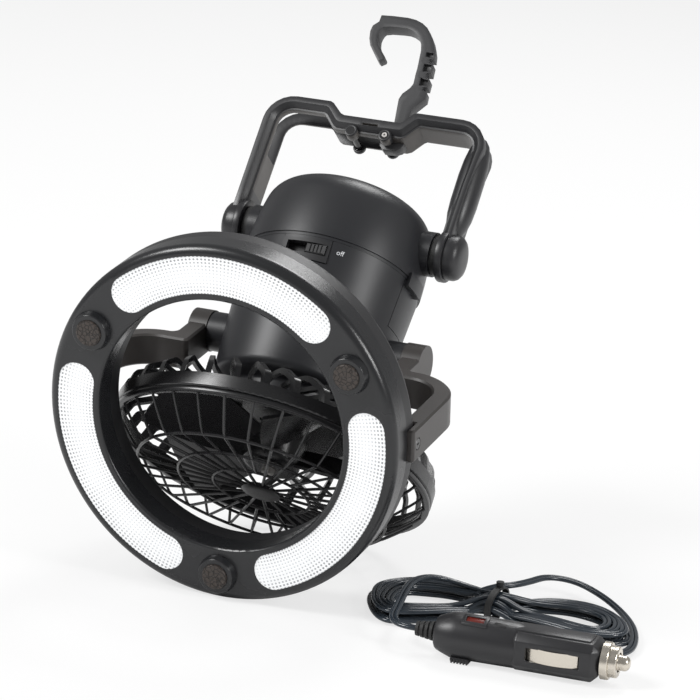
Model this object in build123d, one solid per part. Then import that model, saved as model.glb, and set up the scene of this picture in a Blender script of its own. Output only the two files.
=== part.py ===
from build123d import *
from math import asin, atan2, cos, degrees, hypot, pi, radians, sin, tan
import os

# Camping fan with a ring light. Millimetres. The ring stands on its rim and leans forward,
# the fan cage behind it is the second support, and the loose 12 V lead lies beside it.
# Row frame: +Z up, the ring faces -Y, X across the ring.

# ---- shared clearances and walls
WALL = 2.2
RUN = 0.08          # radial play of a shaft in its bore
SEAT = 0.05         # play of a screw in its boss
GAP = 0.3           # play between parts that move past each other

# ---- ring light, in dial axes: Z toward the viewer, face at 0
RING_R = 85.0
RING_T = 24.0
HOLE_R = 59.7
HOLE_T = 22.0       # thickness at the hole wall
RING_EDGE = 4.3     # rounding of the front outer edge
REAR_EDGE = 3.0
HOLE_EDGE = 1.5
PARTING = 14.0      # depth of the seam on the rim
PARTING_IN = 12.0   # depth of the seam on the hole wall
LIP_T = 1.3
LIP_H = 1.8

LENS_MID_R = 71.55
LENS_W = 17.7
LENS_HALF_ANGLE = 38.2
LENS_GAP = 0.15
LENS_FLANGE = 0.7
LENS_SINK = 0.3
LENS_FLANGE_T = 1.2
LENS_SKIN = 1.5
LENS_ANGLES = {"upper": 90, "left": 210, "right": 330}

BOARD_W = 14.0
BOARD_T = 1.6
BOARD_DEPTH = 9.0
BOARD_HALF_ANGLE = 37.0
BOARD_POST_R = 2.6
BOARD_POST_ANGLE = 24.0
LEDS = 6
LED_SIZE = (3.6, 3.6, 1.4)

FOOT_ANGLES = {"right": 30, "left": 150, "lower": 270}
FOOT_MID_R = 72.2
FOOT_R = 9.3
FOOT_TOP_R = 8.3
FOOT_H = 3.7
PAD_R = 6.2
PAD_FLOOR = 1.0
PAD_TOP = 4.9

SCREW_R = 1.5
SCREW_HEAD_R = 2.9
SCREW_HEAD_T = 1.8
BOSS_R = 3.5
RING_SCREW_SEAT = 8.0   # height of the screw seat above the ring's back
RING_SCREW_L = 13.0

# ---- yoke arms, in ring axes: X across, Y behind the face, Z up
PIVOT_BACK = 103.0
PIVOT_UP = 1.5
YOKE_OUT = 88.0
YOKE_TONGUE_IN = 84.5
YOKE_IN = 79.0
YOKE_H = 15.5
YOKE_TONGUE = (14.5, 24.5)
YOKE_BEND_OUT = 25.5
YOKE_BEND_IN = 16.0
YOKE_BACK = 81.0
YOKE_SHELF = 8.0
YOKE_EYE = (49.5, 59.0)
YOKE_EYE_R = 10.0
YOKE_SCREW_DEPTH = 19.5
YOKE_SCREW_L = 9.0
YOKE_POCKET = (28.0, 54.0)
YOKE_RIB = 2.0

# ---- tower, in tower axes: Z along the tower from the pivot line, -Y its front
TILT = 43.7         # the tower's axis above the ring's axis
HOUSING_WALL = 2.4
HOUSING_TOP = 37.5
HOUSING_TOP_R = 42.7
HOUSING_LOW = -27.0
HOUSING_LOW_R = 39.2
NECK_R = 30.0
NECK_TOP = -31.0
NECK_END = -38.0
DECK = (5.6, 8.0)
DECK_HOLE_R = 4.0
BAND_TOP = 39.0
BAND_R = 42.9
DOME_LIP = 1.2
PIVOT_COLLAR_R = 9.5
PIVOT_COLLAR_OUT = YOKE_EYE[0] - GAP
PIVOT_R = 5.9
PIVOT_L = 8.0
WIRE_R = 2.4

DOME = ((43.5, 39.0), (43.1, 51.0), (41.2, 65.0), (39.3, 70.0), (34.0, 75.0))
DOME_TOP = 77.0
HANDLE_Z = 57.5
HANDLE_BOSS_R = 10.7
HANDLE_BOSS_OUT = 46.8
HANDLE_PIVOT_OUT = 54.2
WASHER = (47.0, 49.5, 9.6)

DOOR_ANGLES = (-17.0, 75.0)
DOOR_LOW = 12.0
DOOR_PLAY = 0.5     # degrees between the door's sides and its opening
DOOR_HINGE_OFF = 43.4   # distance of the hinge line from the tower's axis
DOOR_KNUCKLE_R = 1.7
DOOR_PIN_R = 0.8
DOOR_KNUCKLES = (15.0, 19.0, 30.0, 34.0)   # lug, door barrel, lug: heights where they meet
DOOR_LIP = (0.9, 1.6, 34.0, 41.0)
DOOR_LIP_ANGLES = (-16.0, 3.0)
TRAY_SIZE = (31.0, 53.0, 29.0)
TRAY_BACK = -4.0
CELL_R = 7.35

SWITCH_W = 24.0
SWITCH_Z = (25.5, 36.0)
SWITCH_BACK = 38.6
KNOB = (0.3, 10.3, 29.0, 34.0)
KNOB_FRONT = 42.7
SWITCH_TRAVEL = 9.5
SWITCH_BOARD_Y = 35.0

JACK_ANGLE = 150.0
JACK_Z = -4.0
JACK_R = 5.2
JACK_BORE_R = 2.9
JACK_DEPTH = 10.0
JACK_PIN_R = 0.9

# ---- fan, d is the distance below the pivot along the tower
MOTOR_R = 15.0
MOTOR_H = 26.0
MOTOR_NOSE_R = 4.4
SHAFT_R = 1.5
SHAFT_END = 68.0
BLADES = 5
BLADE_R = 64.0
BLADE_T = 1.6
HUB_R = 14.0
HUB_D = (47.0, 64.0)

CAGE_T = 2.4
CAGE_RIBS = 34
RIB_W = 2.2
CAGE_HUB_R = 36.0
CAGE_SHOULDER = (66.0, 38.6)
CAGE_RIM_R = 77.5
CAGE_RIM_D = (53.0, 60.0)
CAGE_SPHERE_R = 98.0
GRILLE_D = 76.6
GRILLE_RINGS = (61.0, 41.3, 24.2)
GRILLE_HUB_R = 9.0
CAGE_SCREW_MID_R = 24.0
CAGE_SCREW_ANGLES = (90, 210, 330)
CAGE_RIB_BEND = -60.0   # plan radius of a rear rib
CAGE_RIB_SWEEP = 24.0
MOTOR_SCREW_X = 9.0

# ---- handle and hook, in tower axes
BAIL_OUT = 57.0
BAIL_IN_RIGHT = 52.3
BAIL_IN_LEFT = 49.8
BAIL_TOP = 126.0
BAIL_BAR = 6.2
BAIL_CORNER = 14.0
BAIL_HALF_W = 9.5
BAIL_EYE_R = 13.4
CAP_R = 10.5
CAP_OUT = 61.5
SADDLE = (-17.5, 12.0)
SADDLE_TOP = 119.5
SADDLE_LOW = 113.2
PIN_Z = 112.0
HOOK_PIN_X = 6.6
STOP_PIN_X = -10.9
PIN_BOSS_R = 3.3
PIN_R = 1.6
SLOT_Y = (-2.2, 4.2)
SLOT_RIGHT = 15.8
SLOT_LOW = 84.0
HOOK_T = 5.6
HOOK_SWING = 80.0

# ---- 12 V lead
LEAD_D = 4.0
PLUG_R = 10.5
PLUG_L = 77.0
PLUG_REAR = (110.9, -5.7)
PLUG_NOSE = (187.9, -0.4)
PLUG_TIP_TRAVEL = 3.0
DC_PLUG_R = 5.0
DC_PLUG_L = 16.0
DC_BARREL_R = 2.75
DC_BARREL_L = 9.5


# ---- frames
pivot_arm = hypot(PIVOT_BACK - RING_EDGE, PIVOT_UP + RING_R - RING_EDGE)
pivot_angle = degrees(atan2(PIVOT_UP + RING_R - RING_EDGE, PIVOT_BACK - RING_EDGE))
LEAN = degrees(asin((CAGE_SPHERE_R - RING_EDGE) / pivot_arm)) - pivot_angle
RING_H = RING_EDGE + (RING_R - RING_EDGE) * cos(radians(LEAN)) - RING_EDGE * sin(radians(LEAN))

ring_axes = Location((0, 0, RING_H), (LEAN, 0, 0))
dial_axes = ring_axes * Location((0, 0, 0), (90, 0, 0))
tower_axes = ring_axes * Location((0, PIVOT_BACK, PIVOT_UP)) * Location((0, 0, 0), (TILT - 90, 0, 0))

nodes = {}


def add(name, solid, axes):
    nodes[name] = axes * solid


def outline(*corners):
    """A face from (x, y, radius) corners; a corner without a radius stays sharp."""
    points = [corner[:2] for corner in corners]
    radii = [corner[2] if len(corner) > 2 else 0 for corner in corners]
    return make_face(FilletPolyline(*points, radius=radii, close=True))


def turned(*corners):
    """A solid of revolution about Z from (radius, height, rounding) corners."""
    return revolve(Plane.XZ * outline(*corners), Axis.Z)


def rod(radius, z_from, z_to):
    return Pos(0, 0, z_from) * Cylinder(radius, z_to - z_from, align=(Align.CENTER, Align.CENTER, Align.MIN))


def rod_x(radius, x_from, x_to, y=0, z=0):
    return Location((x_from, y, z), (0, 90, 0)) * rod(radius, 0, x_to - x_from)


def rod_y(radius, y_from, y_to, x=0, z=0):
    return Location((x, y_from, z), (-90, 0, 0)) * rod(radius, 0, y_to - y_from)


def block(x, y, z):
    """A box from three (low, high) pairs."""
    size = [span[1] - span[0] for span in (x, y, z)]
    return Pos(x[0], y[0], z[0]) * Box(*size, align=(Align.MIN, Align.MIN, Align.MIN))


def polar(radius, angle, z=0):
    return Pos(radius * cos(radians(angle)), radius * sin(radians(angle)), z)


def arc_slot(width, half_angle, centre_angle):
    spine = CenterArc((0, 0), LENS_MID_R, centre_angle - half_angle, 2 * half_angle)
    return SlotArc(spine, width)


def wedge(radius, angle_from, angle_to, z_from, z_to):
    """A slice of a cylinder between two angles."""
    arc = CenterArc((0, 0), radius, angle_from, angle_to - angle_from)
    face = make_face([Line((0, 0), arc @ 0), arc, Line(arc @ 1, (0, 0))])
    return Pos(0, 0, z_from) * extrude(face, z_to - z_from)


def mirrored(solid):
    return mirror(solid, Plane.YZ)


# ---- ring light
def ring_bezel():
    body = turned(
        (HOLE_R, -PARTING_IN), (HOLE_R, 0, HOLE_EDGE), (RING_R, 0, RING_EDGE), (RING_R, -PARTING),
        (RING_R - WALL, -PARTING), (RING_R - WALL, -WALL, 1.0), (HOLE_R + WALL, -WALL),
        (HOLE_R + WALL, -PARTING_IN),
    )
    for angle in FOOT_ANGLES.values():
        cup = turned((0, -1.5), (FOOT_R, -1.5), (FOOT_R, 0.4), (FOOT_TOP_R, FOOT_H, 0.6), (0, FOOT_H))
        boss = rod(BOSS_R, RING_SCREW_SEAT + WALL - RING_T, -1.5)
        body += polar(FOOT_MID_R, angle) * (cup + boss)
    for angle in FOOT_ANGLES.values():
        body -= polar(FOOT_MID_R, angle) * rod(PAD_R, PAD_FLOOR, FOOT_H + 1)
        body -= polar(FOOT_MID_R, angle) * rod(SCREW_R + SEAT, -RING_T, -2.6)
    for angle in LENS_ANGLES.values():
        body -= Pos(0, 0, -WALL - 1) * extrude(arc_slot(LENS_W, LENS_HALF_ANGLE, angle), WALL + 2)
    return body


def ring_rear_shell():
    body = turned(
        (HOLE_R, -PARTING_IN), (HOLE_R + WALL, -PARTING_IN), (HOLE_R + WALL, WALL - HOLE_T),
        (RING_R - WALL, WALL - RING_T), (RING_R - WALL, -PARTING - WALL),
        (RING_R - WALL - LIP_T, -PARTING - WALL), (RING_R - WALL - LIP_T, LIP_H - PARTING),
        (RING_R - WALL - LENS_GAP, LIP_H - PARTING), (RING_R - WALL - LENS_GAP, -PARTING),
        (RING_R, -PARTING), (RING_R, -RING_T, REAR_EDGE), (HOLE_R, -HOLE_T, HOLE_EDGE),
    )
    seat = RING_SCREW_SEAT - RING_T
    for angle in FOOT_ANGLES.values():
        body += polar(FOOT_MID_R, angle) * rod(BOSS_R + WALL / 2, -HOLE_T, seat + WALL)
    for centre in LENS_ANGLES.values():
        for side in (-1, 1):
            post = rod(BOARD_POST_R, -HOLE_T, -BOARD_DEPTH - BOARD_T)
            body += polar(LENS_MID_R, centre + side * BOARD_POST_ANGLE) * post
    for side in (-1, 1):
        shelf = rod_x(BOSS_R, 74, RING_R - 1, 0, -YOKE_SCREW_DEPTH)
        shelf -= rod_x(SCREW_R + SEAT, 70, RING_R, 0, -YOKE_SCREW_DEPTH)
        flat = block((YOKE_TONGUE_IN, RING_R + 1), (-YOKE_H / 2 - GAP, YOKE_H / 2 + GAP),
                     (-RING_T - 1, -PARTING))
        hole = rod_x(SCREW_R + SEAT, RING_R - 2 * WALL, RING_R + 1, 0, -YOKE_SCREW_DEPTH)
        turn = Rot(0, 0, 0 if side > 0 else 180)
        body = body + turn * shelf - turn * flat - turn * hole
    for angle in FOOT_ANGLES.values():
        body -= polar(FOOT_MID_R, angle) * rod(SCREW_HEAD_R + GAP, -RING_T - 1, seat)
        body -= polar(FOOT_MID_R, angle) * rod(SCREW_R + SEAT, -RING_T - 1, 0)
    return body


def lens(angle):
    plug = extrude(arc_slot(LENS_W - 2 * LENS_GAP, LENS_HALF_ANGLE, angle), WALL - LENS_SINK)
    flange = extrude(arc_slot(LENS_W - 2 * LENS_GAP + 2 * LENS_FLANGE, LENS_HALF_ANGLE, angle), LENS_FLANGE_T)
    hollow_w = LENS_W - 2 * LENS_GAP - 2 * LENS_SKIN
    hollow_h = LENS_FLANGE_T + WALL - LENS_SINK - LENS_SKIN
    hollow = extrude(arc_slot(hollow_w, LENS_HALF_ANGLE, angle), hollow_h)
    low = -WALL - LENS_FLANGE_T
    return Pos(0, 0, -WALL) * plug + Pos(0, 0, low) * flange - Pos(0, 0, low) * hollow


def led_board(angle):
    low = -BOARD_DEPTH - BOARD_T
    board = Pos(0, 0, low) * extrude(arc_slot(BOARD_W, BOARD_HALF_ANGLE, angle), BOARD_T)
    step = 2 * BOARD_HALF_ANGLE / LEDS
    for i in range(LEDS):
        turn = angle - BOARD_HALF_ANGLE + (i + 0.5) * step
        led = Box(*LED_SIZE, align=(Align.CENTER, Align.CENTER, Align.MIN))
        board += Rot(0, 0, turn) * Pos(LENS_MID_R, 0, -BOARD_DEPTH) * led
    return board


def foot_pad(angle):
    pad = turned((0, PAD_FLOOR), (PAD_R - LENS_GAP, PAD_FLOOR), (PAD_R - LENS_GAP, PAD_TOP, 0.8), (0, PAD_TOP))
    return polar(FOOT_MID_R, angle) * pad


def screw(length):
    """A pan-head screw that points up, with the underside of its head at 0."""
    head = turned((0, -SCREW_HEAD_T), (SCREW_HEAD_R, -SCREW_HEAD_T, 0.6), (SCREW_HEAD_R, 0), (0, 0))
    return head + rod(SCREW_R, 0, length)


def ring_screws():
    seat = RING_SCREW_SEAT - RING_T
    return Part() + [polar(FOOT_MID_R, a, seat) * screw(RING_SCREW_L) for a in FOOT_ANGLES.values()]


def yoke_arm():
    """The arm on the +X side, from its tongue on the ring to its eye on the tower's pivot."""
    plan = outline(
        (YOKE_TONGUE_IN, YOKE_TONGUE[0]), (YOKE_OUT, YOKE_TONGUE[0], 1.5), (YOKE_OUT, YOKE_BACK, YOKE_BEND_OUT),
        (YOKE_EYE[1], YOKE_BACK, 3), (YOKE_EYE[1], PIVOT_BACK), (YOKE_EYE[0], PIVOT_BACK),
        (YOKE_EYE[0], YOKE_BACK - YOKE_SHELF, 2), (YOKE_IN, YOKE_BACK - YOKE_SHELF, YOKE_BEND_IN),
        (YOKE_IN, YOKE_TONGUE[1]), (YOKE_TONGUE_IN, YOKE_TONGUE[1]),
    )
    arm = Pos(0, 0, -YOKE_H / 2) * extrude(plan, YOKE_H)
    arm = chamfer(arm.faces().sort_by(Axis.Z)[-1].edges() + arm.faces().sort_by(Axis.Z)[0].edges(), 0.9)
    arm += rod_x(YOKE_EYE_R, *YOKE_EYE, PIVOT_BACK, PIVOT_UP)
    arm -= rod_x(PIVOT_R + RUN, YOKE_EYE[0] - 1, PIVOT_COLLAR_OUT + PIVOT_L + GAP, PIVOT_BACK, PIVOT_UP)
    half = YOKE_H / 2 - WALL
    middle = sum(YOKE_POCKET) / 2
    for low, high in ((YOKE_POCKET[0], middle - YOKE_RIB / 2), (middle + YOKE_RIB / 2, YOKE_POCKET[1])):
        arm -= block((YOKE_IN - 1, YOKE_OUT - WALL), (low, high), (-half, half))
    arm -= rod_x(SCREW_R + SEAT, YOKE_TONGUE_IN - 1, YOKE_OUT + 1, YOKE_SCREW_DEPTH, 0)
    arm -= rod_x(SCREW_HEAD_R + SEAT, YOKE_OUT - SCREW_HEAD_T, YOKE_OUT + 1, YOKE_SCREW_DEPTH, 0)
    return arm


def yoke_screw():
    placed = Location((YOKE_OUT - SCREW_HEAD_T, YOKE_SCREW_DEPTH, 0), (0, -90, 0))
    return placed * screw(YOKE_SCREW_L)


# ---- tower
def housing_radius(z):
    """Outer radius of the tapered housing wall at that height."""
    share = (z - HOUSING_LOW) / (HOUSING_TOP - HOUSING_LOW)
    return HOUSING_LOW_R + share * (HOUSING_TOP_R - HOUSING_LOW_R)


def door_axis():
    """The upright hinge line at the rear side of the door, X outward."""
    return Rot(0, 0, DOOR_ANGLES[1]) * Pos(DOOR_HINGE_OFF, 0, 0)


def door_knuckle(low, high, side):
    """A hinge barrel with a web into the wall, on the side away from or towards the door."""
    web_y = (0, 3.2) if side > 0 else (-3.2, 0)
    web = block((-4.2, -0.6), web_y, (low, high)) + block((-3.4, 0), (0, 1.2 * side) if side > 0 else (-1.2, 0), (low, high))
    return rod(DOOR_KNUCKLE_R, low, high) + web


def tower_housing():
    body = turned(
        (0, NECK_END), (NECK_R, NECK_END, 1), (NECK_R, NECK_TOP, 2), (HOUSING_LOW_R, HOUSING_LOW, 4),
        (HOUSING_TOP_R, HOUSING_TOP), (HOUSING_TOP_R - HOUSING_WALL, HOUSING_TOP),
        (HOUSING_LOW_R - HOUSING_WALL, HOUSING_LOW + HOUSING_WALL, 2),
        (NECK_R - HOUSING_WALL, NECK_TOP + HOUSING_WALL, 2), (NECK_R - HOUSING_WALL, NECK_END + HOUSING_WALL),
        (0, NECK_END + HOUSING_WALL),
    )
    body += rod(housing_radius(DECK[0]) - 1, *DECK) - rod(DECK_HOLE_R, DECK[0] - 1, DECK[1] + 1)
    collar = rod_x(PIVOT_COLLAR_R, HOUSING_LOW_R - HOUSING_WALL + 1, PIVOT_COLLAR_OUT)
    stub = collar + rod_x(PIVOT_R, PIVOT_COLLAR_OUT - 1, PIVOT_COLLAR_OUT + PIVOT_L)
    for turn in (Rot(0, 0, 0), Rot(0, 0, 180)):
        body += turn * stub
        body -= turn * rod_x(WIRE_R, HOUSING_LOW_R - 2 * HOUSING_WALL, PIVOT_COLLAR_OUT + PIVOT_L + 1)
    for angle in CAGE_SCREW_ANGLES:
        body += polar(CAGE_SCREW_MID_R, angle) * rod(BOSS_R, NECK_END + 1, NECK_END + 10)
    half = SWITCH_W / 2 + LENS_GAP
    body -= block((-half, half), (-HOUSING_TOP_R - 1, -30), (SWITCH_Z[0] - LENS_GAP, HOUSING_TOP + 1))
    body -= wedge(HOUSING_TOP_R + 5, *DOOR_ANGLES, DOOR_LOW, HOUSING_TOP + 1)
    lug_low, barrel_low, barrel_high, lug_high = DOOR_KNUCKLES
    for low, high in ((lug_low, barrel_low), (barrel_high, lug_high)):
        body += door_axis() * door_knuckle(low, high, 1)
    body -= door_axis() * rod(DOOR_KNUCKLE_R + GAP, barrel_low, barrel_high)
    body -= door_axis() * rod(DOOR_PIN_R + RUN, lug_low - 1, lug_high + 1)
    for side in (-1, 1):
        post = rod_y(2.2, -HOUSING_TOP_R + HOUSING_WALL, -SWITCH_BOARD_Y, side * 10, 20)
        body += post
    body -= Rot(0, 0, JACK_ANGLE) * rod_x(JACK_R + SEAT, 30, 50, 0, JACK_Z)
    for angle in CAGE_SCREW_ANGLES:
        body -= polar(CAGE_SCREW_MID_R, angle) * rod(SCREW_R + SEAT, NECK_END - 1, NECK_END + 11)
    body -= rod(MOTOR_NOSE_R + SEAT, NECK_END - 1, NECK_END + HOUSING_WALL + 1)
    for side in (-1, 1):
        body -= Pos(side * MOTOR_SCREW_X, 0, 0) * rod(SCREW_R + SEAT, NECK_END - 1, NECK_END + HOUSING_WALL + 1)
    return body


def tower_band():
    inner = HOUSING_TOP_R - HOUSING_WALL
    return rod(BAND_R, HOUSING_TOP, BAND_TOP) - rod(inner, HOUSING_TOP - 1, BAND_TOP + 1)


def dome_solid(inset):
    """The dome's form, drawn in by a wall thickness."""
    points = [(r - inset, z - (inset if z > BAND_TOP else 0)) for r, z in DOME]
    edge_r, edge_z = points[-1]
    rise = DOME_TOP - inset - edge_z
    crown_r = (edge_r ** 2 + rise ** 2) / (2 * rise)
    middle = (edge_r / 2, edge_z + rise - crown_r + (crown_r ** 2 - edge_r ** 2 / 4) ** 0.5)
    side = ThreePointArc(*points[0:3])
    shoulder = ThreePointArc(*points[2:5])
    crown = ThreePointArc(points[-1], middle, (0, edge_z + rise))
    axis = Line(crown @ 1, (0, BAND_TOP))
    base = Line((0, BAND_TOP), points[0])
    return revolve(Plane.XZ * make_face([side, shoulder, crown, axis, base]), Axis.Z)


def tower_dome():
    boss = rod_x(HANDLE_BOSS_R, 34, HANDLE_BOSS_OUT, 0, HANDLE_Z)
    boss += rod_x(PIVOT_R, HANDLE_BOSS_OUT - 1, HANDLE_PIVOT_OUT, 0, HANDLE_Z)
    body = dome_solid(0) + boss + mirrored(boss)
    body -= dome_solid(HOUSING_WALL)
    inner = HOUSING_TOP_R - HOUSING_WALL
    lip_low = HOUSING_TOP - DOME_LIP
    lip = rod(inner - LENS_GAP, lip_low, BAND_TOP) + rod(inner + 1.5, BAND_TOP, BAND_TOP + 1.2)
    body += lip - rod(inner - 2, lip_low - 1, BAND_TOP + 2)
    body -= block((-SWITCH_W / 2 - 1, SWITCH_W / 2 + 1), (-HOUSING_TOP_R, -30), (lip_low - 1, BAND_TOP))
    for side in (-1, 1):
        hole = rod_x(SCREW_R + SEAT, 30, HANDLE_PIVOT_OUT + 1, 0, HANDLE_Z)
        body -= hole if side > 0 else mirrored(hole)
    return body


def handle_washer():
    ring = rod_x(WASHER[2], WASHER[0], WASHER[1], 0, HANDLE_Z)
    return ring - rod_x(PIVOT_R + RUN, WASHER[0] - 1, WASHER[1] + 1, 0, HANDLE_Z)


def handle_screw():
    head = rod_x(7.8, HANDLE_PIVOT_OUT, HANDLE_PIVOT_OUT + 1.6, 0, HANDLE_Z)
    return head + rod_x(SCREW_R, HANDLE_PIVOT_OUT - 14, HANDLE_PIVOT_OUT, 0, HANDLE_Z)


def battery_door():
    low, high = DOOR_LOW + GAP, HOUSING_TOP - GAP
    skin = turned(
        (housing_radius(low), low), (housing_radius(high), high),
        (housing_radius(high) - HOUSING_WALL, high), (housing_radius(low) - HOUSING_WALL, low),
    )
    start, end = DOOR_ANGLES[0] + DOOR_PLAY, DOOR_ANGLES[1] - DOOR_PLAY
    door = skin & wedge(HOUSING_TOP_R + 5, start, end, low - 1, high + 1)
    out_from, thick, lip_low, lip_high = DOOR_LIP
    lip = rod(HOUSING_TOP_R + out_from + thick, lip_low, lip_high)
    lip -= rod(HOUSING_TOP_R + out_from, HOUSING_TOP - 0.5, lip_high + 1)
    lip -= rod(housing_radius(lip_low) - 1, lip_low - 1, HOUSING_TOP)
    door += lip & wedge(HOUSING_TOP_R + 9, *DOOR_LIP_ANGLES, lip_low - 1, lip_high + 1)
    lug_low, barrel_low, barrel_high, lug_high = DOOR_KNUCKLES
    door += door_axis() * door_knuckle(barrel_low + GAP, barrel_high - GAP, -1)
    for lug in ((lug_low, barrel_low), (barrel_high, lug_high)):
        door -= door_axis() * rod(DOOR_KNUCKLE_R + 2 * GAP, lug[0] - GAP, lug[1] + GAP / 2)
    return door - door_axis() * rod(DOOR_PIN_R + SEAT / 2, lug_low - 1, lug_high + 1)


def door_pin():
    return door_axis() * rod(DOOR_PIN_R, DOOR_KNUCKLES[0], DOOR_KNUCKLES[3])


def battery_tray():
    depth, length, height = TRAY_SIZE
    tray = block((TRAY_BACK, TRAY_BACK + depth), (-length / 2, length / 2), (DECK[1], DECK[1] + height))
    for column in (0, 1):
        for row in (0, 1):
            x = TRAY_BACK + depth / 4 + 0.3 + column * depth / 2
            z = DECK[1] + height / 4 + row * height / 2
            cell = rod_y(CELL_R - 0.4, -length / 2 + 1.5, length / 2 - 1.5, x, z)
            tray -= cell
    tray -= block((TRAY_BACK + depth / 2, TRAY_BACK + depth + 1), (-length / 2 + 1.5, length / 2 - 1.5),
                  (DECK[1] + 2.5, DECK[1] + height - 2.5))
    return Rot(0, 0, sum(DOOR_ANGLES) / 2) * tray


def battery_contacts():
    depth, length, height = TRAY_SIZE
    x = TRAY_BACK + depth / 2
    plates = Part()
    for side in (-1, 1):
        y = side * (length / 2 + 0.3)
        plates += block((x - 12, x + 8), (y - 0.3, y + 0.3), (DECK[1] + 2, DECK[1] + height - 3))
    return Rot(0, 0, sum(DOOR_ANGLES) / 2) * plates


def switch_frame():
    half = SWITCH_W / 2
    frame = rod(BAND_R, *SWITCH_Z) & block((-half, half), (-50, -SWITCH_BACK), SWITCH_Z)
    opening = block((KNOB[0] - SWITCH_TRAVEL - GAP, KNOB[1] + GAP), (-50, -30), (KNOB[2] - GAP, KNOB[3] + GAP))
    return frame - opening


def switch_slider():
    knob = block(KNOB[0:2], (-KNOB_FRONT, -SWITCH_BACK + 1.2), KNOB[2:4])
    knob = chamfer(knob.faces().sort_by(Axis.Y)[0].edges(), 0.5)
    for x in (2.6, 4.4, 6.2, 8.0):
        knob -= block((x, x + 0.7), (-KNOB_FRONT - 1, -KNOB_FRONT + 0.5), (KNOB[2] + 0.6, KNOB[3] - 0.6))
    plate = block((KNOB[0] - 1, KNOB[1] + 1), (-SWITCH_BACK + GAP, -SWITCH_BACK + 1.3),
                  (KNOB[2] - 1.4, KNOB[3] + 1.4))
    return knob + plate


def switch_board():
    front = -SWITCH_BOARD_Y
    board = block((-13, 13), (front, front + BOARD_T), (17.5, HOUSING_TOP - 2))
    return board + block((-10, 12), (front - 1.8, front), (27, 35.4))


def dc_jack():
    out = housing_radius(JACK_Z) + 0.4
    body = rod_x(JACK_R, out - JACK_DEPTH - 2, out, 0, JACK_Z)
    body -= rod_x(JACK_BORE_R, out - JACK_DEPTH, out + 1, 0, JACK_Z)
    body += rod_x(JACK_PIN_R, out - JACK_DEPTH - 1, out - 1.5, 0, JACK_Z)
    return Rot(0, 0, JACK_ANGLE) * body


# ---- motor, fan and cage
def motor_can():
    low = NECK_END + HOUSING_WALL
    body = turned((0, low), (MOTOR_R, low, 1), (MOTOR_R, low + MOTOR_H, 2), (0, low + MOTOR_H))
    body += rod(MOTOR_NOSE_R, NECK_END, low + 1)
    body -= rod(SHAFT_R + RUN, NECK_END - 1, low + MOTOR_H - 3)
    for side in (-1, 1):
        body -= Pos(side * MOTOR_SCREW_X, 0, 0) * rod(SCREW_R + SEAT, low - 1, low + 5)
    return body


def motor_screws():
    return Part() + [Pos(side * MOTOR_SCREW_X, 0, NECK_END) * screw(HOUSING_WALL + 4) for side in (-1, 1)]


def fan_shaft():
    return rod(SHAFT_R, -SHAFT_END, NECK_END + HOUSING_WALL + MOTOR_H - 4)


def blade(angle):
    """A pitched blade, lofted from the hub to the tip."""
    sections = []
    for radius, chord, pitch in ((HUB_R - 2, 17.0, 46.0), (38.0, 32.0, 34.0), (BLADE_R, 40.0, 26.0)):
        plane = Plane(origin=(radius, 0, -sum(HUB_D) / 2), x_dir=(0, 1, 0), z_dir=(1, 0, 0))
        sections.append(plane * Rot(0, 0, pitch) * Rectangle(chord, BLADE_T))
    return Rot(0, 0, angle) * (loft(sections) & rod(BLADE_R, -90, 0))


def impeller():
    hub = turned((0, -HUB_D[1]), (HUB_R, -HUB_D[1], 4), (HUB_R, -HUB_D[0]), (0, -HUB_D[0]))
    hub -= rod(HUB_R - WALL, -HUB_D[0] - 8, -HUB_D[0] + 1)
    hub += rod(4.5, -HUB_D[0] - 9, -HUB_D[0])
    for i in range(BLADES):
        hub += blade(i * 360 / BLADES + 12)
    return hub - rod(SHAFT_R + SEAT / 2, -HUB_D[1] - 1, -HUB_D[0] + 1)


def impeller_nut():
    nut = extrude(RegularPolygon(3.2, 6), 2.4)
    return Pos(0, 0, -HUB_D[1] - 2.4) * nut - rod(SHAFT_R + SEAT / 2, -HUB_D[1] - 4, -HUB_D[1] + 1)


def around(solid, count, start):
    """Copies of a rib turned about the axis."""
    return [Rot(0, 0, start + i * 360 / count) * solid for i in range(count)]


def curved_plate(inner, outer, sweep, z_from, z_to):
    """An upright plate on a circle that starts at the inner radius and ends swept round at the outer."""
    end = (outer * cos(radians(sweep)), outer * sin(radians(sweep)))
    arc = RadiusArc((inner, 0), end, CAGE_RIB_BEND)
    centre = arc.arc_center
    tube = rod(abs(CAGE_RIB_BEND) + RIB_W / 2, z_from, z_to) - rod(abs(CAGE_RIB_BEND) - RIB_W / 2, z_from, z_to)
    strip = Pos(centre.X, centre.Y) * tube & wedge(outer + 20, -12, sweep + 12, z_from, z_to)
    return strip - rod(inner, z_from - 1, z_to + 1)


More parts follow.
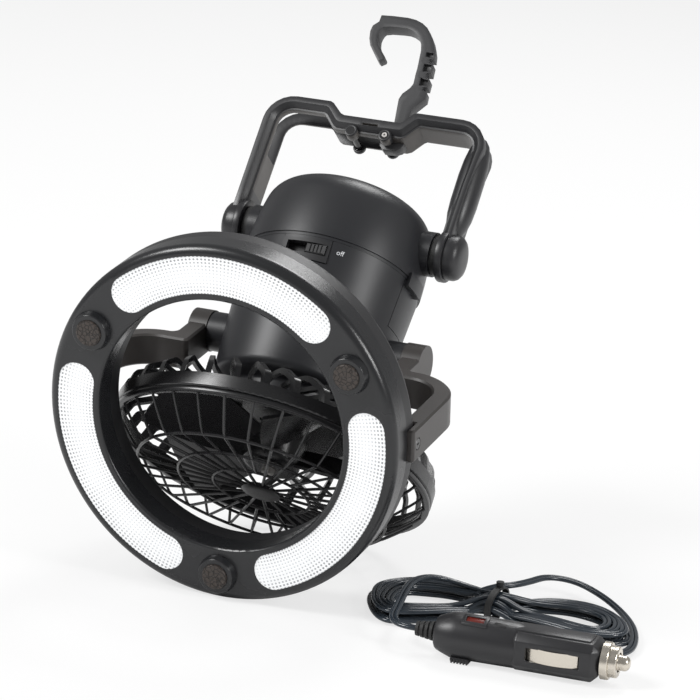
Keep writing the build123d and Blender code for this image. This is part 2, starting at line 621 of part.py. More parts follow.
def cage_rear():
    shoulder_r, shoulder_d = CAGE_SHOULDER
    rim_top, rim_low = CAGE_RIM_D
    start_r = CAGE_HUB_R - 2
    wall = turned(
        (start_r, NECK_END), (shoulder_r, -shoulder_d, 8), (CAGE_RIM_R - 2, -46.0, 4), (CAGE_RIM_R, -rim_top - 1),
        (CAGE_RIM_R - CAGE_T, -rim_top - 1), (CAGE_RIM_R - 2 - CAGE_T, -47.0, 3),
        (shoulder_r - 1, -shoulder_d - CAGE_T, 6), (start_r, NECK_END - CAGE_T),
    )
    rib = wall & curved_plate(start_r, CAGE_RIM_R, CAGE_RIB_SWEEP, -60, -30)
    hub = rod(CAGE_HUB_R, NECK_END - CAGE_T, NECK_END)
    band = turned(
        (CAGE_RIM_R - 4, -rim_low), (CAGE_RIM_R, -rim_low, 1.2), (CAGE_RIM_R, -rim_top),
        (CAGE_RIM_R - CAGE_T, -rim_top), (CAGE_RIM_R - CAGE_T, CAGE_T - rim_low), (CAGE_RIM_R - 4, CAGE_T - rim_low),
    )
    body = hub + band
    body = body + around(rib, CAGE_RIBS, -90)
    body -= rod(MOTOR_NOSE_R + 1, -60, 0)
    for angle in CAGE_SCREW_ANGLES:
        body -= polar(CAGE_SCREW_MID_R, angle) * rod(SCREW_R + SEAT, -60, 0)
    for side in (-1, 1):
        body -= Pos(side * MOTOR_SCREW_X, 0, 0) * rod(SCREW_HEAD_R + GAP, -60, 0)
    return body


def sphere_radius_at(d, inset=0.0):
    """Radius of the cage's bulge at a distance below the pivot."""
    return ((CAGE_SPHERE_R - inset) ** 2 - d ** 2) ** 0.5


def cage_front():
    """Side ribs on a sphere about the pivot that turn in as spokes to three rings and a hub disc."""
    top_d, low_d = CAGE_RIM_D[1], GRILLE_D
    in_d = low_d - CAGE_T
    mid_d = (top_d + low_d) / 2
    outside = ThreePointArc(*[(sphere_radius_at(d), -d) for d in (top_d, mid_d, low_d)])
    inside = ThreePointArc(*[(sphere_radius_at(d, CAGE_T), -d) for d in (top_d, mid_d, in_d)])
    face = make_face([
        outside, inside, Line(outside @ 0, inside @ 0), Line(outside @ 1, (0, -low_d)),
        Line((0, -low_d), (0, -in_d)), Line((0, -in_d), inside @ 1),
    ])
    wall = revolve(Plane.XZ * face, Axis.Z)
    reach = CAGE_RIM_R + 2
    long_rib = wall & block((GRILLE_HUB_R - 2, reach), (-RIB_W / 2, RIB_W / 2), (-90, -50))
    short_rib = wall & block((GRILLE_RINGS[2] - 1, reach), (-RIB_W / 2, RIB_W / 2), (-90, -50))
    half = CAGE_RIBS // 2
    ribs = around(long_rib, half, -90) + around(short_rib, half, -90 + 360 / CAGE_RIBS)
    body = rod(GRILLE_HUB_R, -low_d, -in_d)
    for radius in GRILLE_RINGS:
        body += rod(radius, -low_d, -in_d) - rod(radius - RIB_W, -low_d - 1, -in_d + 1)
    top_r = sphere_radius_at(top_d)
    body += turned(
        (top_r - 4, -top_d), (top_r, -top_d), (sphere_radius_at(top_d + CAGE_T), -top_d - CAGE_T),
        (top_r - 4, -top_d - CAGE_T),
    )
    return body + ribs


def cage_screws():
    return Part() + [polar(CAGE_SCREW_MID_R, a, NECK_END - CAGE_T) * screw(10.0) for a in CAGE_SCREW_ANGLES]


# ---- handle and hook
def handle_bail():
    top, bar = BAIL_TOP, BAIL_BAR
    left_end, right_end = SADDLE
    front = outline(
        (BAIL_OUT, HANDLE_Z), (BAIL_OUT, top, BAIL_CORNER), (right_end + 5, top, 4), (right_end, SADDLE_TOP, 4),
        (left_end, SADDLE_TOP, 4), (left_end - 7, top, 4), (-BAIL_OUT, top, BAIL_CORNER), (-BAIL_OUT, HANDLE_Z),
        (-BAIL_IN_LEFT, HANDLE_Z), (-BAIL_IN_LEFT, top - bar, 8), (left_end - 9, top - bar, 4),
        (left_end - 3, SADDLE_LOW, 2), (right_end + 4, SADDLE_LOW, 3), (right_end + 11, top - bar, 4),
        (BAIL_IN_RIGHT, top - bar, 7), (BAIL_IN_RIGHT, HANDLE_Z),
    )
    body = Location((0, BAIL_HALF_W, 0), (90, 0, 0)) * extrude(front, 2 * BAIL_HALF_W)
    eye = rod_x(BAIL_EYE_R, BAIL_IN_LEFT, BAIL_OUT, 0, HANDLE_Z)
    body = body + eye + mirrored(eye)
    for x in (HOOK_PIN_X, STOP_PIN_X):
        body += rod_y(PIN_BOSS_R, -BAIL_HALF_W, BAIL_HALF_W, x, PIN_Z)
        body += block((x - PIN_BOSS_R, x + PIN_BOSS_R), (-BAIL_HALF_W, BAIL_HALF_W), (PIN_Z, SADDLE_LOW + 1))
    body -= block((-BAIL_OUT - 1, SLOT_RIGHT), SLOT_Y, (SLOT_LOW, BAIL_TOP + 1))
    body -= block((STOP_PIN_X + PIN_BOSS_R + 1, HOOK_PIN_X - PIN_BOSS_R - 1), (-20, 20),
                  (SADDLE_LOW + 1.2, SADDLE_TOP - 1.6))
    for x in (HOOK_PIN_X, STOP_PIN_X):
        body -= rod_y(PIN_R + SEAT, -20, 20, x, PIN_Z)
        body -= rod_y(PIN_R + 1.1, -BAIL_HALF_W - 1, -BAIL_HALF_W + 1.4, x, PIN_Z)
    recess_from = HANDLE_PIVOT_OUT + 0.2
    for side in (-1, 1):
        bore = rod_x(PIVOT_R + RUN, BAIL_IN_LEFT - 1, BAIL_OUT + 1, 0, HANDLE_Z)
        recess = rod_x(8.3, recess_from - 0.4, BAIL_OUT + 1, 0, HANDLE_Z)
        body -= (bore + recess) if side > 0 else mirrored(bore + recess)
    return body


def handle_cap():
    cap = turned((0, BAIL_OUT), (CAP_R, BAIL_OUT), (CAP_R, CAP_OUT, 4), (0, CAP_OUT))
    cap += rod(8.2, BAIL_OUT - 0.8, BAIL_OUT + 1)
    return Location((0, 0, HANDLE_Z), (0, 90, 0)) * cap


def cross_pin(x):
    head = rod_y(PIN_R + 1.0, -BAIL_HALF_W + 0.2, -BAIL_HALF_W + 1.4, x, PIN_Z)
    return head + rod_y(PIN_R, -BAIL_HALF_W + 1.4, BAIL_HALF_W, x, PIN_Z)


def hanging_hook():
    """The hook's outline in the handle's plane: stem, three catch teeth, bend and nose."""
    form = outline(
        (6.9, 116.0), (6.9, 122.9, 2), (5.3, 130.0, 3), (8.6, 140.0, 5), (10.3, 147.7, 8), (8.2, 167.5, 5),
        (0.0, 171.3, 5), (-11.0, 170.2, 3), (-15.0, 172.0, 1.5), (-14.6, 163.5, 2), (-7.4, 156.0, 1.5),
        (-9.8, 153.6, 1.5), (-19.6, 163.0, 3), (-21.0, 175.0, 3), (-17.9, 178.6, 1), (-17.9, 181.3, 1),
        (-4.6, 181.6, 6), (6.0, 179.5, 6), (13.4, 170.5, 8), (17.4, 160.7, 1), (17.6, 156.0, 1),
        (14.2, 156.2, 1), (14.4, 152.2, 1), (18.3, 151.8, 1), (18.3, 146.4, 1), (14.7, 146.6, 1),
        (14.8, 143.0, 1), (18.9, 142.6, 1), (18.7, 138.6, 1), (13.8, 134.6, 2), (15.2, 128.1, 2),
        (15.2, 112.0, 3), (12.0, 108.4, 3), (4.2, 108.4, 3), (2.4, 112.0, 2), (2.4, 116.0),
    )
    middle = sum(SLOT_Y) / 2
    body = Location((0, middle + HOOK_T / 2, 0), (90, 0, 0)) * extrude(form, HOOK_T)
    return body - rod_y(PIN_R + RUN, -20, 20, HOOK_PIN_X, PIN_Z)


# ---- 12 V lead
def lead_tube(name, points):
    """A round tube of straight runs joined by tangent arcs, as large as the runs allow."""
    corners = [Vector(*p) for p in points]
    radii = []
    for before, here, after in zip(corners, corners[1:], corners[2:]):
        turn = (here - before).get_angle(after - here)
        shorter = min((here - before).length, (after - here).length)
        radii.append(0.45 * shorter / tan(radians(turn) / 2))
    path = FilletPolyline(*corners, radius=radii)
    tube = sweep(Plane(origin=path @ 0, z_dir=path % 0) * Circle(LEAD_D / 2), path=path)
    true_volume = pi * (LEAD_D / 2) ** 2 * path.length
    print(name, "radii", [round(r, 1) for r in radii], "length", round(path.length, 1),
          "volume ratio", round(tube.volume / true_volume, 4))
    return tube


HANK = ((63, 50, 40, 8, 0), (76, 43, 66, 10, 0), (95, 50, 54, 12, 0), (116.5, 54, 24, 12, 1.2),
        (121.5, 54, 24, 12, 1.2), (143, 61, 40, 11, 0), (165, 57, 46, 9, 0), (181, 51, 30, 7, 0))
TIE = (117.5, 54.0, 24.0, 12.0, 1.2)   # rear side, middle, width and height inside, thickness
TIE_W = 3.0

TAIL_TO_PLUG = ((102.92, -6.25, 10.5), (94.94, -6.8, 10.5), (88.5, 0.5, 10.8), (86.5, 13.0, 12.0), (83.0, 29.0, 13.4),
                (81.0, 46.0, 13.8), (86.0, 60.0, 12.4), (97.0, 66.0, 8.0))
TAIL_TO_CONNECTOR = ((124.5, 64.5, 8.0), (124.0, 82.0, 9.6), (128.0, 98.0, 9.0), (140.0, 104.5, 7.0),
                     (155.0, 98.5, 4.6), (168.5, 87.0, 2.6), (179.0, 71.0, 2.3), (185.5, 54.0, 2.3),
                     (188.0, 38.0, 2.4), (183.5, 26.0, 3.6), (174.0, 20.6, 5.0), (164.0, 19.4, 5.0))


def across_lead(x, y, width, height, low):
    """An upright ellipse across the hank, its lowest point at low."""
    return Plane(origin=(x, y, low + height / 2), x_dir=(0, 1, 0), z_dir=(1, 0, 0)) * Ellipse(width / 2, height / 2)


def lead_hank():
    return loft([across_lead(*station) for station in HANK], ruled=True)


def lead_tie():
    x, y, width, height, thick = TIE
    outer = across_lead(x, y, width + 2 * thick, height + 2 * thick, 0)
    inner = across_lead(x, y, width + 2 * SEAT, height + 2 * SEAT, thick - SEAT)
    twist = Pos(x + TIE_W / 2, y + 3, height + thick + 0.25) * rod(1.8, 0, 3.2)
    return extrude(outer, TIE_W) - extrude(inner, TIE_W) + twist


def plug_axes():
    along = Vector(PLUG_NOSE[0] - PLUG_REAR[0], PLUG_NOSE[1] - PLUG_REAR[1], 0)
    return Plane(origin=(*PLUG_REAR, PLUG_R), x_dir=(0, 0, 1), z_dir=along).location


def car_plug_body():
    """Grip, shoulder and nose of the car plug, with a window on each side for its contacts."""
    body = turned((0, 0), (6.0, 0, 1), (PLUG_R, 12, 5), (PLUG_R, 50, 10), (9.4, PLUG_L - 6, 4), (8.6, PLUG_L), (0, PLUG_L))
    body -= rod(4.6, PLUG_L - 14, PLUG_L + 1)
    for side in (-1, 1):
        body -= block((-3.3, 3.3), (min(side * 5.6, side * 12), max(side * 5.6, side * 12)), (44.0, 66.0))
    lip = block((-PLUG_R, -5), (-4, 4), (10, 24)) & rod(PLUG_R, 8, 26)
    return body + lip


def car_plug_strain_relief():
    body = turned((0, -8.0), (3.2, -8.0), (4.4, 0), (0, 0))
    for z in (-6.6, -4.4, -2.2):
        body -= rod(6, z, z + 0.9) - rod(2.9, z - 1, z + 2)
    return body


def car_plug_contact(side):
    arc = ThreePointArc((side * 6.0, 44.6), (side * 10.2, 55.0), (side * 6.0, 65.4))
    inner = ThreePointArc((side * 5.65, 45.0), (side * 9.6, 55.0), (side * 5.65, 65.0))
    face = make_face([arc, inner, Line(arc @ 0, inner @ 0), Line(arc @ 1, inner @ 1)])
    return Pos(2.7, 0, 0) * (Plane.YZ * extrude(face, -5.4))


def car_plug_nose_ring():
    body = turned((4.4, PLUG_L), (8.4, PLUG_L), (8.4, PLUG_L + 3.4, 0.8), (7.0, PLUG_L + 3.4), (7.0, PLUG_L + 7.0, 0.8),
                  (4.4, PLUG_L + 7.0))
    return body


def car_plug_tip():
    shank = turned((0, PLUG_L - 8), (4.2, PLUG_L - 8), (4.2, PLUG_L + 5), (3.4, PLUG_L + 7.5), (3.4, PLUG_L + 12, 2.6),
                   (0, PLUG_L + 12))
    return shank


def dc_plug_axes():
    rear = Vector(*TAIL_TO_CONNECTOR[-1])
    before = Vector(*TAIL_TO_CONNECTOR[-2])
    along = Vector(rear.X - before.X, rear.Y - before.Y, 0)
    return Plane(origin=rear, x_dir=(0, 0, 1), z_dir=along).location


def dc_plug_body():
    return turned((0, 0), (3.0, 0), (3.4, 4, 1), (DC_PLUG_R, 5, 1), (DC_PLUG_R, DC_PLUG_L, 0.8), (0, DC_PLUG_L))


def dc_plug_barrel():
    tube = rod(DC_BARREL_R, DC_PLUG_L, DC_PLUG_L + DC_BARREL_L)
    return tube - rod(1.05, DC_PLUG_L + 1, DC_PLUG_L + DC_BARREL_L + 1)


# ---- assembly
add("ring_bezel", ring_bezel(), dial_axes)
add("ring_rear_shell", ring_rear_shell(), dial_axes)
add("ring_screws", ring_screws(), dial_axes)
for name, angle in LENS_ANGLES.items():
    add("lens_" + name, lens(angle), dial_axes)
    add("led_board_" + name, led_board(angle), dial_axes)
for name, angle in FOOT_ANGLES.items():
    add("foot_pad_" + name, foot_pad(angle), dial_axes)
add("yoke_arm_right", yoke_arm(), ring_axes)
add("yoke_arm_left", mirrored(yoke_arm()), ring_axes)
add("yoke_screw_right", yoke_screw(), ring_axes)
add("yoke_screw_left", mirrored(yoke_screw()), ring_axes)

add("tower_housing", tower_housing(), tower_axes)
add("tower_band", tower_band(), tower_axes)
add("tower_dome", tower_dome(), tower_axes)
add("battery_tray", battery_tray(), tower_axes)
add("battery_contacts", battery_contacts(), tower_axes)
add("switch_frame", switch_frame(), tower_axes)
add("switch_board", switch_board(), tower_axes)
add("dc_jack", dc_jack(), tower_axes)
add("motor_can", motor_can(), tower_axes)
add("motor_screws", motor_screws(), tower_axes)
add("cage_rear", cage_rear(), tower_axes)
add("cage_front", cage_front(), tower_axes)
add("cage_screws", cage_screws(), tower_axes)
add("handle_washer_right", handle_washer(), tower_axes)
add("handle_washer_left", mirrored(handle_washer()), tower_axes)
add("handle_screw_right", handle_screw(), tower_axes)
add("handle_screw_left", mirrored(handle_screw()), tower_axes)
add("switch_slider", switch_slider(), tower_axes)
add("battery_door", battery_door(), tower_axes)
add("door_pin", door_pin(), tower_axes)
add("fan_shaft", fan_shaft(), tower_axes)
add("impeller", impeller(), tower_axes)
add("impeller_nut", impeller_nut(), tower_axes)

add("handle_bail", handle_bail(), tower_axes)
add("handle_cap_right", handle_cap(), tower_axes)
add("handle_cap_left", mirrored(handle_cap()), tower_axes)
add("hook_pin", cross_pin(HOOK_PIN_X), tower_axes)
add("stop_pin", cross_pin(STOP_PIN_X), tower_axes)
add("hanging_hook", hanging_hook(), tower_axes)

fan_boxes = [solid.bounding_box() for solid in nodes.values()]
front_y = min(box.min.Y for box in fan_boxes)
back_y = max(box.max.Y for box in fan_boxes)
middle_y = (front_y + back_y) / 2
print("lean", round(LEAN, 3), "ring height", round(RING_H, 3), "shift", round(middle_y, 4))
floor_axes = Location((0, 0, 0))

add("lead_hank", lead_hank(), floor_axes)
add("lead_tie", lead_tie(), floor_axes)
add("lead_tail_plug", lead_tube("tail to the car plug", TAIL_TO_PLUG), floor_axes)
add("lead_tail_connector", lead_tube("tail to the connector", TAIL_TO_CONNECTOR), floor_axes)
add("car_plug_body", car_plug_body(), plug_axes())
add("car_plug_strain_relief", car_plug_strain_relief(), plug_axes())
add("car_plug_contact_front", car_plug_contact(1), plug_axes())
add("car_plug_contact_rear", car_plug_contact(-1), plug_axes())
add("car_plug_nose_ring", car_plug_nose_ring(), plug_axes())
add("car_plug_tip", car_plug_tip(), plug_axes())
add("dc_plug_body", dc_plug_body(), dc_plug_axes())
add("dc_plug_barrel", dc_plug_barrel(), dc_plug_axes())

os.makedirs("parts", exist_ok=True)
centred = Location((0, -middle_y, 0))
for name, solid in nodes.items():
    export_step(centred * solid, "parts/" + name + ".step")
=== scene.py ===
# %% [markdown]
# # A camping fan with a ring light
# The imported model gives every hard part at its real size. This lesson dresses it: each plastic, metal and
# rubber gets its finish, and the loose power lead becomes a real cord. The hook, the handle, the front grille
# and the car plug are modelled again here with more shape, and fine things such as screw crosses are added.

# %% Load the frame
import math
import random

import bmesh
import bpy
from mathutils import Matrix, Vector


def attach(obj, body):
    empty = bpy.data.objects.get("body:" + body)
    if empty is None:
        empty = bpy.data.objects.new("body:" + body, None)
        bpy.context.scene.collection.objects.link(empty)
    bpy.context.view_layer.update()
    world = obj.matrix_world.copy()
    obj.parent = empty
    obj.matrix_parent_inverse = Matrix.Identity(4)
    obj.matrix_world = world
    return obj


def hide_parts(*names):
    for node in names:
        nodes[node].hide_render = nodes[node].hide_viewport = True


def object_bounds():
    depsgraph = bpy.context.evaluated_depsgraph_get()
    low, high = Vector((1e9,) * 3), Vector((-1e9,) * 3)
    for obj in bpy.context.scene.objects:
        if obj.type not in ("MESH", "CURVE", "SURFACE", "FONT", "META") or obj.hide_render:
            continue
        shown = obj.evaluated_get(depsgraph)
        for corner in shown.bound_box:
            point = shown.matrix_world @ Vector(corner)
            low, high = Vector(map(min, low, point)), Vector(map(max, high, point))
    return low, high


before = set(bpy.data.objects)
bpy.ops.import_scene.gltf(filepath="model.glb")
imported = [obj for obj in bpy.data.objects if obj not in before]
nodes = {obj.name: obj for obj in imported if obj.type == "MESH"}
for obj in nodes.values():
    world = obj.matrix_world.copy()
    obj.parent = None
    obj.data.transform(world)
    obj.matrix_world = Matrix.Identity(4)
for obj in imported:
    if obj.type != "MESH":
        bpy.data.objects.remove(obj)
cad_low, cad_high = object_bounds()
scene = bpy.context.scene
bpy.ops.object.select_all(action="DESELECT")
print("frame box", [round(v, 4) for v in (*cad_low, *cad_high)])

# %% [markdown]
# The ring leans back a little on its rim, and the fan tower hangs from a pivot behind it. Four sets of axes
# describe the whole object: the dial (flat on the ring's face, Z out of it), the tower (Z along the tower),
# the floor, and further on the car plug. A point is easiest to give in its part's own axes.

# %% Axes of the parts
LEAN_DEGREES, TOWER_DEGREES = 7.0549, 43.7
LEAN = math.radians(LEAN_DEGREES)
RING_FACE = Vector((0, -0.1049551, 0.0838609))
PIVOT = Vector((0, -0.0029191, 0.098))
TOWER_TILT = math.radians(LEAN_DEGREES + TOWER_DEGREES - 90)
dial_axes = Matrix.Translation(RING_FACE) @ Matrix.Rotation(LEAN + math.pi / 2, 4, "X")
tower_axes = Matrix.Translation(PIVOT) @ Matrix.Rotation(TOWER_TILT, 4, "X")
MM = 0.001

# %% [markdown]
# A pale floor and soft lamps show black plastic best: the shape is read from broad reflections. Seen straight
# by the camera the floor is mixed with plain white, so it stays pale and still keeps the object's shadow.

# %% Stage, lamps and camera
FLOOR_SIZE, FLOOR_GREY, FLOOR_WHITE_SHARE = 30, 0.86, 0.72
DAYLIGHT = 0.32
CAMERA_PLACE = (0.59724, -1.49543, 0.52989)
CAMERA_RIGHT, CAMERA_UP = (0.92455, 0.37558, 0.06444), (-0.15552, 0.21751, 0.96359)
CAMERA_BACK = (0.34790, -0.90091, 0.25951)
SENSOR_WIDTH, FOCAL_LENGTH = 36, 181.36


def stage_floor():
    """A pale floor under the object, which the camera sees lighter than the lamps leave it."""
    bpy.ops.mesh.primitive_plane_add(size=FLOOR_SIZE, location=(0, 0, cad_low.z))
    floor = bpy.context.active_object
    floor.name = "floor"
    paper = bpy.data.materials.new("paper")
    paper.use_nodes = True
    tree = paper.node_tree
    tree.nodes.clear()
    out = tree.nodes.new("ShaderNodeOutputMaterial")
    mixed = tree.nodes.new("ShaderNodeMixShader")
    rough = tree.nodes.new("ShaderNodeBsdfDiffuse")
    rough.inputs["Color"].default_value = (FLOOR_GREY, FLOOR_GREY, FLOOR_GREY, 1)
    glow = tree.nodes.new("ShaderNodeEmission")
    seen = tree.nodes.new("ShaderNodeLightPath")
    share = tree.nodes.new("ShaderNodeMath")
    share.operation = "MULTIPLY"
    share.inputs[1].default_value = FLOOR_WHITE_SHARE
    tree.links.new(seen.outputs["Is Camera Ray"], share.inputs[0])
    tree.links.new(share.outputs[0], mixed.inputs[0])
    tree.links.new(rough.outputs[0], mixed.inputs[1])
    tree.links.new(glow.outputs[0], mixed.inputs[2])
    tree.links.new(mixed.outputs[0], out.inputs[0])
    floor.data.materials.append(paper)


def lamp(name, place, aim, size, power):
    """A square area lamp that faces a point."""
    data = bpy.data.lights.new(name, "AREA")
    data.size = size
    data.energy = power
    made = bpy.data.objects.new(name, data)
    made.location = place
    made.rotation_euler = (Vector(aim) - Vector(place)).to_track_quat("-Z", "Y").to_euler()
    scene.collection.objects.link(made)


stage_floor()
world = bpy.data.worlds.new("studio")
world.use_nodes = True
sky = world.node_tree.nodes["Background"]
sky.inputs["Color"].default_value = (1, 1, 1, 1)
sky.inputs["Strength"].default_value = DAYLIGHT
scene.world = world
middle = (0, 0, 0.11)
lamp("key", (-1.1, -0.9, 1.3), middle, 0.6, 24)
lamp("side", (1.5, -0.35, 0.8), middle, 0.5, 12)
lamp("back", (0.1, 1.1, 1.5), middle, 0.7, 15)

camera = bpy.data.objects.new("camera", bpy.data.cameras.new("camera"))
turn = Matrix((CAMERA_RIGHT, CAMERA_UP, CAMERA_BACK)).transposed().to_4x4()
camera.matrix_world = Matrix.Translation(CAMERA_PLACE) @ turn
camera.data.sensor_width = SENSOR_WIDTH
camera.data.lens = FOCAL_LENGTH
camera.data.clip_end = 50
scene.collection.objects.link(camera)
scene.camera = camera
scene.view_settings.view_transform = "Standard"

# %% [markdown]
# Shader maths reads best as plain expressions. A Wire is one output of a node, and + - * on it add Math
# nodes. A Finish is a material on the Principled shader, and its node method makes any other node.

# %% Shader helpers
class Wire:
    """One node output. Arithmetic on it adds Math nodes to the same material."""

    def __init__(self, finish, socket):
        self.finish = finish
        self.socket = socket

    def maths(self, operation, *values):
        return self.finish.node("ShaderNodeMath", {"operation": operation}, dict(enumerate(values)))

    def __add__(self, other):
        return self.maths("ADD", self, other)

    def __sub__(self, other):
        return self.maths("SUBTRACT", self, other)

    def __rsub__(self, other):
        return self.maths("SUBTRACT", other, self)

    def __mul__(self, other):
        return self.maths("MULTIPLY", self, other)

    def sine(self):
        return self.maths("SINE", self)

    def size(self):
        return self.maths("ABSOLUTE", self)

    def power(self, exponent):
        return self.maths("POWER", self, exponent)

    def clamp(self, low, high):
        return self.maths("MAXIMUM", self.maths("MINIMUM", self, high), low)


class Finish:
    """A material with one Principled shader."""

    def __init__(self, name, color, roughness, **constants):
        self.material = bpy.data.materials.new(name)
        self.material.use_nodes = True
        self.material.diffuse_color = (*color, 1)
        self.tree = self.material.node_tree
        self.shader = self.tree.nodes["Principled BSDF"]
        self.shader.inputs["Base Color"].default_value = (*color, 1)
        self.shader.inputs["Roughness"].default_value = roughness
        for socket, value in constants.items():
            self.shader.inputs[socket.replace("_", " ")].default_value = value

    def node(self, kind, settings=None, inputs=None, output=0):
        """A new node with its settings, its inputs as wires or values, and one output as a Wire."""
        made = self.tree.nodes.new(kind)
        for key, value in (settings or {}).items():
            setattr(made, key, value)
        for key, value in (inputs or {}).items():
            socket = made.inputs[key]
            if isinstance(value, Wire):
                self.tree.links.new(value.socket, socket)
            else:
                socket.default_value = value
        return Wire(self, made.outputs[output])

    def feed(self, socket, wire):
        self.tree.links.new(wire.socket, self.shader.inputs[socket])

    def place(self, location=(0, 0, 0), rotation=(0, 0, 0)):
        """Object coordinates, moved and turned so that a pattern centres on a part."""
        coordinates = self.node("ShaderNodeTexCoord", output="Object")
        moved = self.node("ShaderNodeVectorMath", {"operation": "SUBTRACT"},
                          {0: coordinates, 1: location})
        return self.node("ShaderNodeMapping", None, {"Vector": moved, "Rotation": rotation})

    def axes(self, vector):
        split = self.tree.nodes.new("ShaderNodeSeparateXYZ")
        self.tree.links.new(vector.socket, split.inputs[0])
        return [Wire(self, out) for out in split.outputs]

    def noise(self, vector, scale, detail=3.0):
        inputs = {"Vector": vector, "Scale": scale, "Detail": detail, "Roughness": 0.5}
        return self.node("ShaderNodeTexNoise", None, inputs)

    def tones(self, factor, first, second):
        inputs = {"Factor": factor, 6: (*first, 1), 7: (*second, 1)}
        return self.node("ShaderNodeMix", {"data_type": "RGBA"}, inputs, 2)

    def bump(self, height, distance, strength=1.0):
        inputs = {"Height": height, "Distance": distance, "Strength": strength}
        return self.node("ShaderNodeBump", None, inputs)


# %% [markdown]
# Black moulded plastic is never one flat black. A fine spark-eroded grain breaks up its highlights, its gloss
# drifts a little over a large face, and handling leaves paler, drier patches.

# %% Moulded plastics
def moulded(name, color, roughness, grain=0.00002, grain_size=2600.0, drift=0.08, pale=0.02):
    """Moulded plastic: tone and gloss drift slowly, and a fine grain lies over all."""
    finish = Finish(name, color, roughness)
    where = finish.place()
    patches = finish.noise(where, 28.0, 4.0)
    lighter = tuple(min(1.0, channel + pale) for channel in color)
    finish.feed("Base Color", finish.tones(patches, color, lighter))
    finish.feed("Roughness", patches * drift * 2 + (roughness - drift))
    fine = finish.noise(where, grain_size, 1.0)
    finish.feed("Normal", finish.bump(fine, grain))
    return finish.material


ring_black = moulded("ring_satin_black", (0.012, 0.0125, 0.014), 0.27, drift=0.05, pale=0.006)
shell_black = moulded("shell_matt_black", (0.013, 0.013, 0.0145), 0.46, pale=0.007)
housing_black = moulded("housing_black", (0.014, 0.0145, 0.017), 0.4, grain=0.00003, pale=0.007)
cage_black = moulded("cage_black", (0.011, 0.011, 0.012), 0.26, drift=0.05, pale=0.005)
yoke_brown = moulded("yoke_brown_black", (0.032, 0.028, 0.026), 0.4, pale=0.012)
handle_black = moulded("handle_black", (0.018, 0.018, 0.02), 0.38, pale=0.008)
hook_grey = moulded("hook_grey_black", (0.032, 0.032, 0.034), 0.4, pale=0.012)
knob_black = moulded("knob_black", (0.009, 0.009, 0.01), 0.5, pale=0.004)
plug_black = moulded("plug_gloss_black", (0.016, 0.016, 0.018), 0.36, grain=0.00003, pale=0.006)
rubber_black = moulded("soft_black_rubber", (0.014, 0.014, 0.014), 0.6, grain=0.00004, pale=0.008)
pin_black = moulded("pin_gloss_black", (0.012, 0.012, 0.013), 0.22, pale=0.004)
# The handle's inner faces get a paler, brownish grey: a painted reflection of light on them, together with
# dust.
inner_sheen_and_dust = moulded("handle_inner_sheen_and_dust", (0.07, 0.063, 0.057), 0.42, pale=0.03)
board_white = moulded("board_white", (0.62, 0.64, 0.6), 0.45, pale=0.05)

# %% [markdown]
# Steel screws and the can are brushed; the plug's contacts are nickel plated, brighter and smoother, with
# a slight stain. Both are metal all through, so the tone varies and the Metallic socket stays at one.

# %% Metals
def plated(name, color, roughness, streak=0.0):
    """Metal with a slight stain; streak near 1 draws the stain out along Z, as brushing does."""
    finish = Finish(name, color, roughness, Metallic=1.0)
    where = finish.place()
    stretched = finish.node("ShaderNodeVectorMath", {"operation": "MULTIPLY"},
                            {0: where, 1: (1, 1, 1 - streak)})
    stain = finish.noise(stretched, 120.0, 2.0)
    darker = tuple(channel * 0.88 for channel in color)
    finish.feed("Base Color", finish.tones(stain, darker, color))
    finish.feed("Roughness", stain * 0.1 + (roughness - 0.05))
    finish.feed("Normal", finish.bump(finish.noise(stretched, 900.0, 2.0), 0.000003))
    return finish.material


steel = plated("brushed_steel", (0.62, 0.6, 0.58), 0.34, 0.9)
nickel = plated("nickel_plate", (0.7, 0.65, 0.57), 0.27)
dark_steel = plated("blackened_steel", (0.16, 0.16, 0.16), 0.4)

# %% [markdown]
# The lenses are frosted windows over rows of lamps. Inside they carry fine prisms, in rows along the arc and
# across it, which break the light into a net. The pattern is worked out from the distance and the angle
# round the dial's middle, so it bends with the ring.

# %% Lens and pads
LENS_MIDDLE, LENS_HALF = 0.0706, 0.0109
PRISM_ROW, PRISMS_ROUND = 0.0016, 262.0


def lens_finish():
    """Frosted white under a net of grey dots, stronger near the lens's edges and in patches."""
    finish = Finish("frosted_lens", (0.86, 0.88, 0.9), 0.16, Emission_Strength=0.22)
    where = finish.place(tuple(RING_FACE), (-(LEAN + math.pi / 2), 0, 0))
    x, y, _ = finish.axes(where)
    radius = (x * x + y * y).power(0.5)
    angle = finish.node("ShaderNodeMath", {"operation": "ARCTAN2"}, {0: y, 1: x})
    across = (radius * (math.tau / PRISM_ROW)).sine() * 0.5 + 0.5
    along = (angle * PRISMS_ROUND).sine() * 0.5 + 0.5
    dots = across * along
    edge = ((radius - LENS_MIDDLE).size() * (1 / LENS_HALF)).power(2.0)
    patchy = finish.noise(where, 45.0, 2.0) * 0.7
    shade = dots * (edge * 0.95 + patchy).clamp(0.15, 1)
    light = finish.tones(shade.clamp(0, 1), (0.93, 0.94, 0.95), (0.07, 0.075, 0.08))
    finish.feed("Base Color", light)
    finish.feed("Emission Color", light)
    finish.feed("Normal", finish.bump(1 - dots, 0.0002, 0.6))
    return finish.material


def pad_finish():
    """Brown rubber with a leafy relief of cells."""
    finish = Finish("foot_pad_rubber", (0.03, 0.024, 0.021), 0.55)
    where = finish.place(tuple(RING_FACE), (-(LEAN + math.pi / 2), 0, 0))
    cells = finish.node("ShaderNodeTexVoronoi", {"feature": "DISTANCE_TO_EDGE"},
                        {"Vector": where, "Scale": 520.0})
    leaf = (cells * 9.0).clamp(0, 1)
    finish.feed("Base Color", finish.tones(leaf, (0.008, 0.006, 0.005), (0.048, 0.037, 0.031)))
    finish.feed("Normal", finish.bump(leaf, 0.0004))
    return finish.material


lens_white = lens_finish()
pad_brown = pad_finish()

# %% [markdown]
# Each carried-over part now takes its finish, also those that a modelled piece stands for further on. One
# table holds them all, by the name of the part.

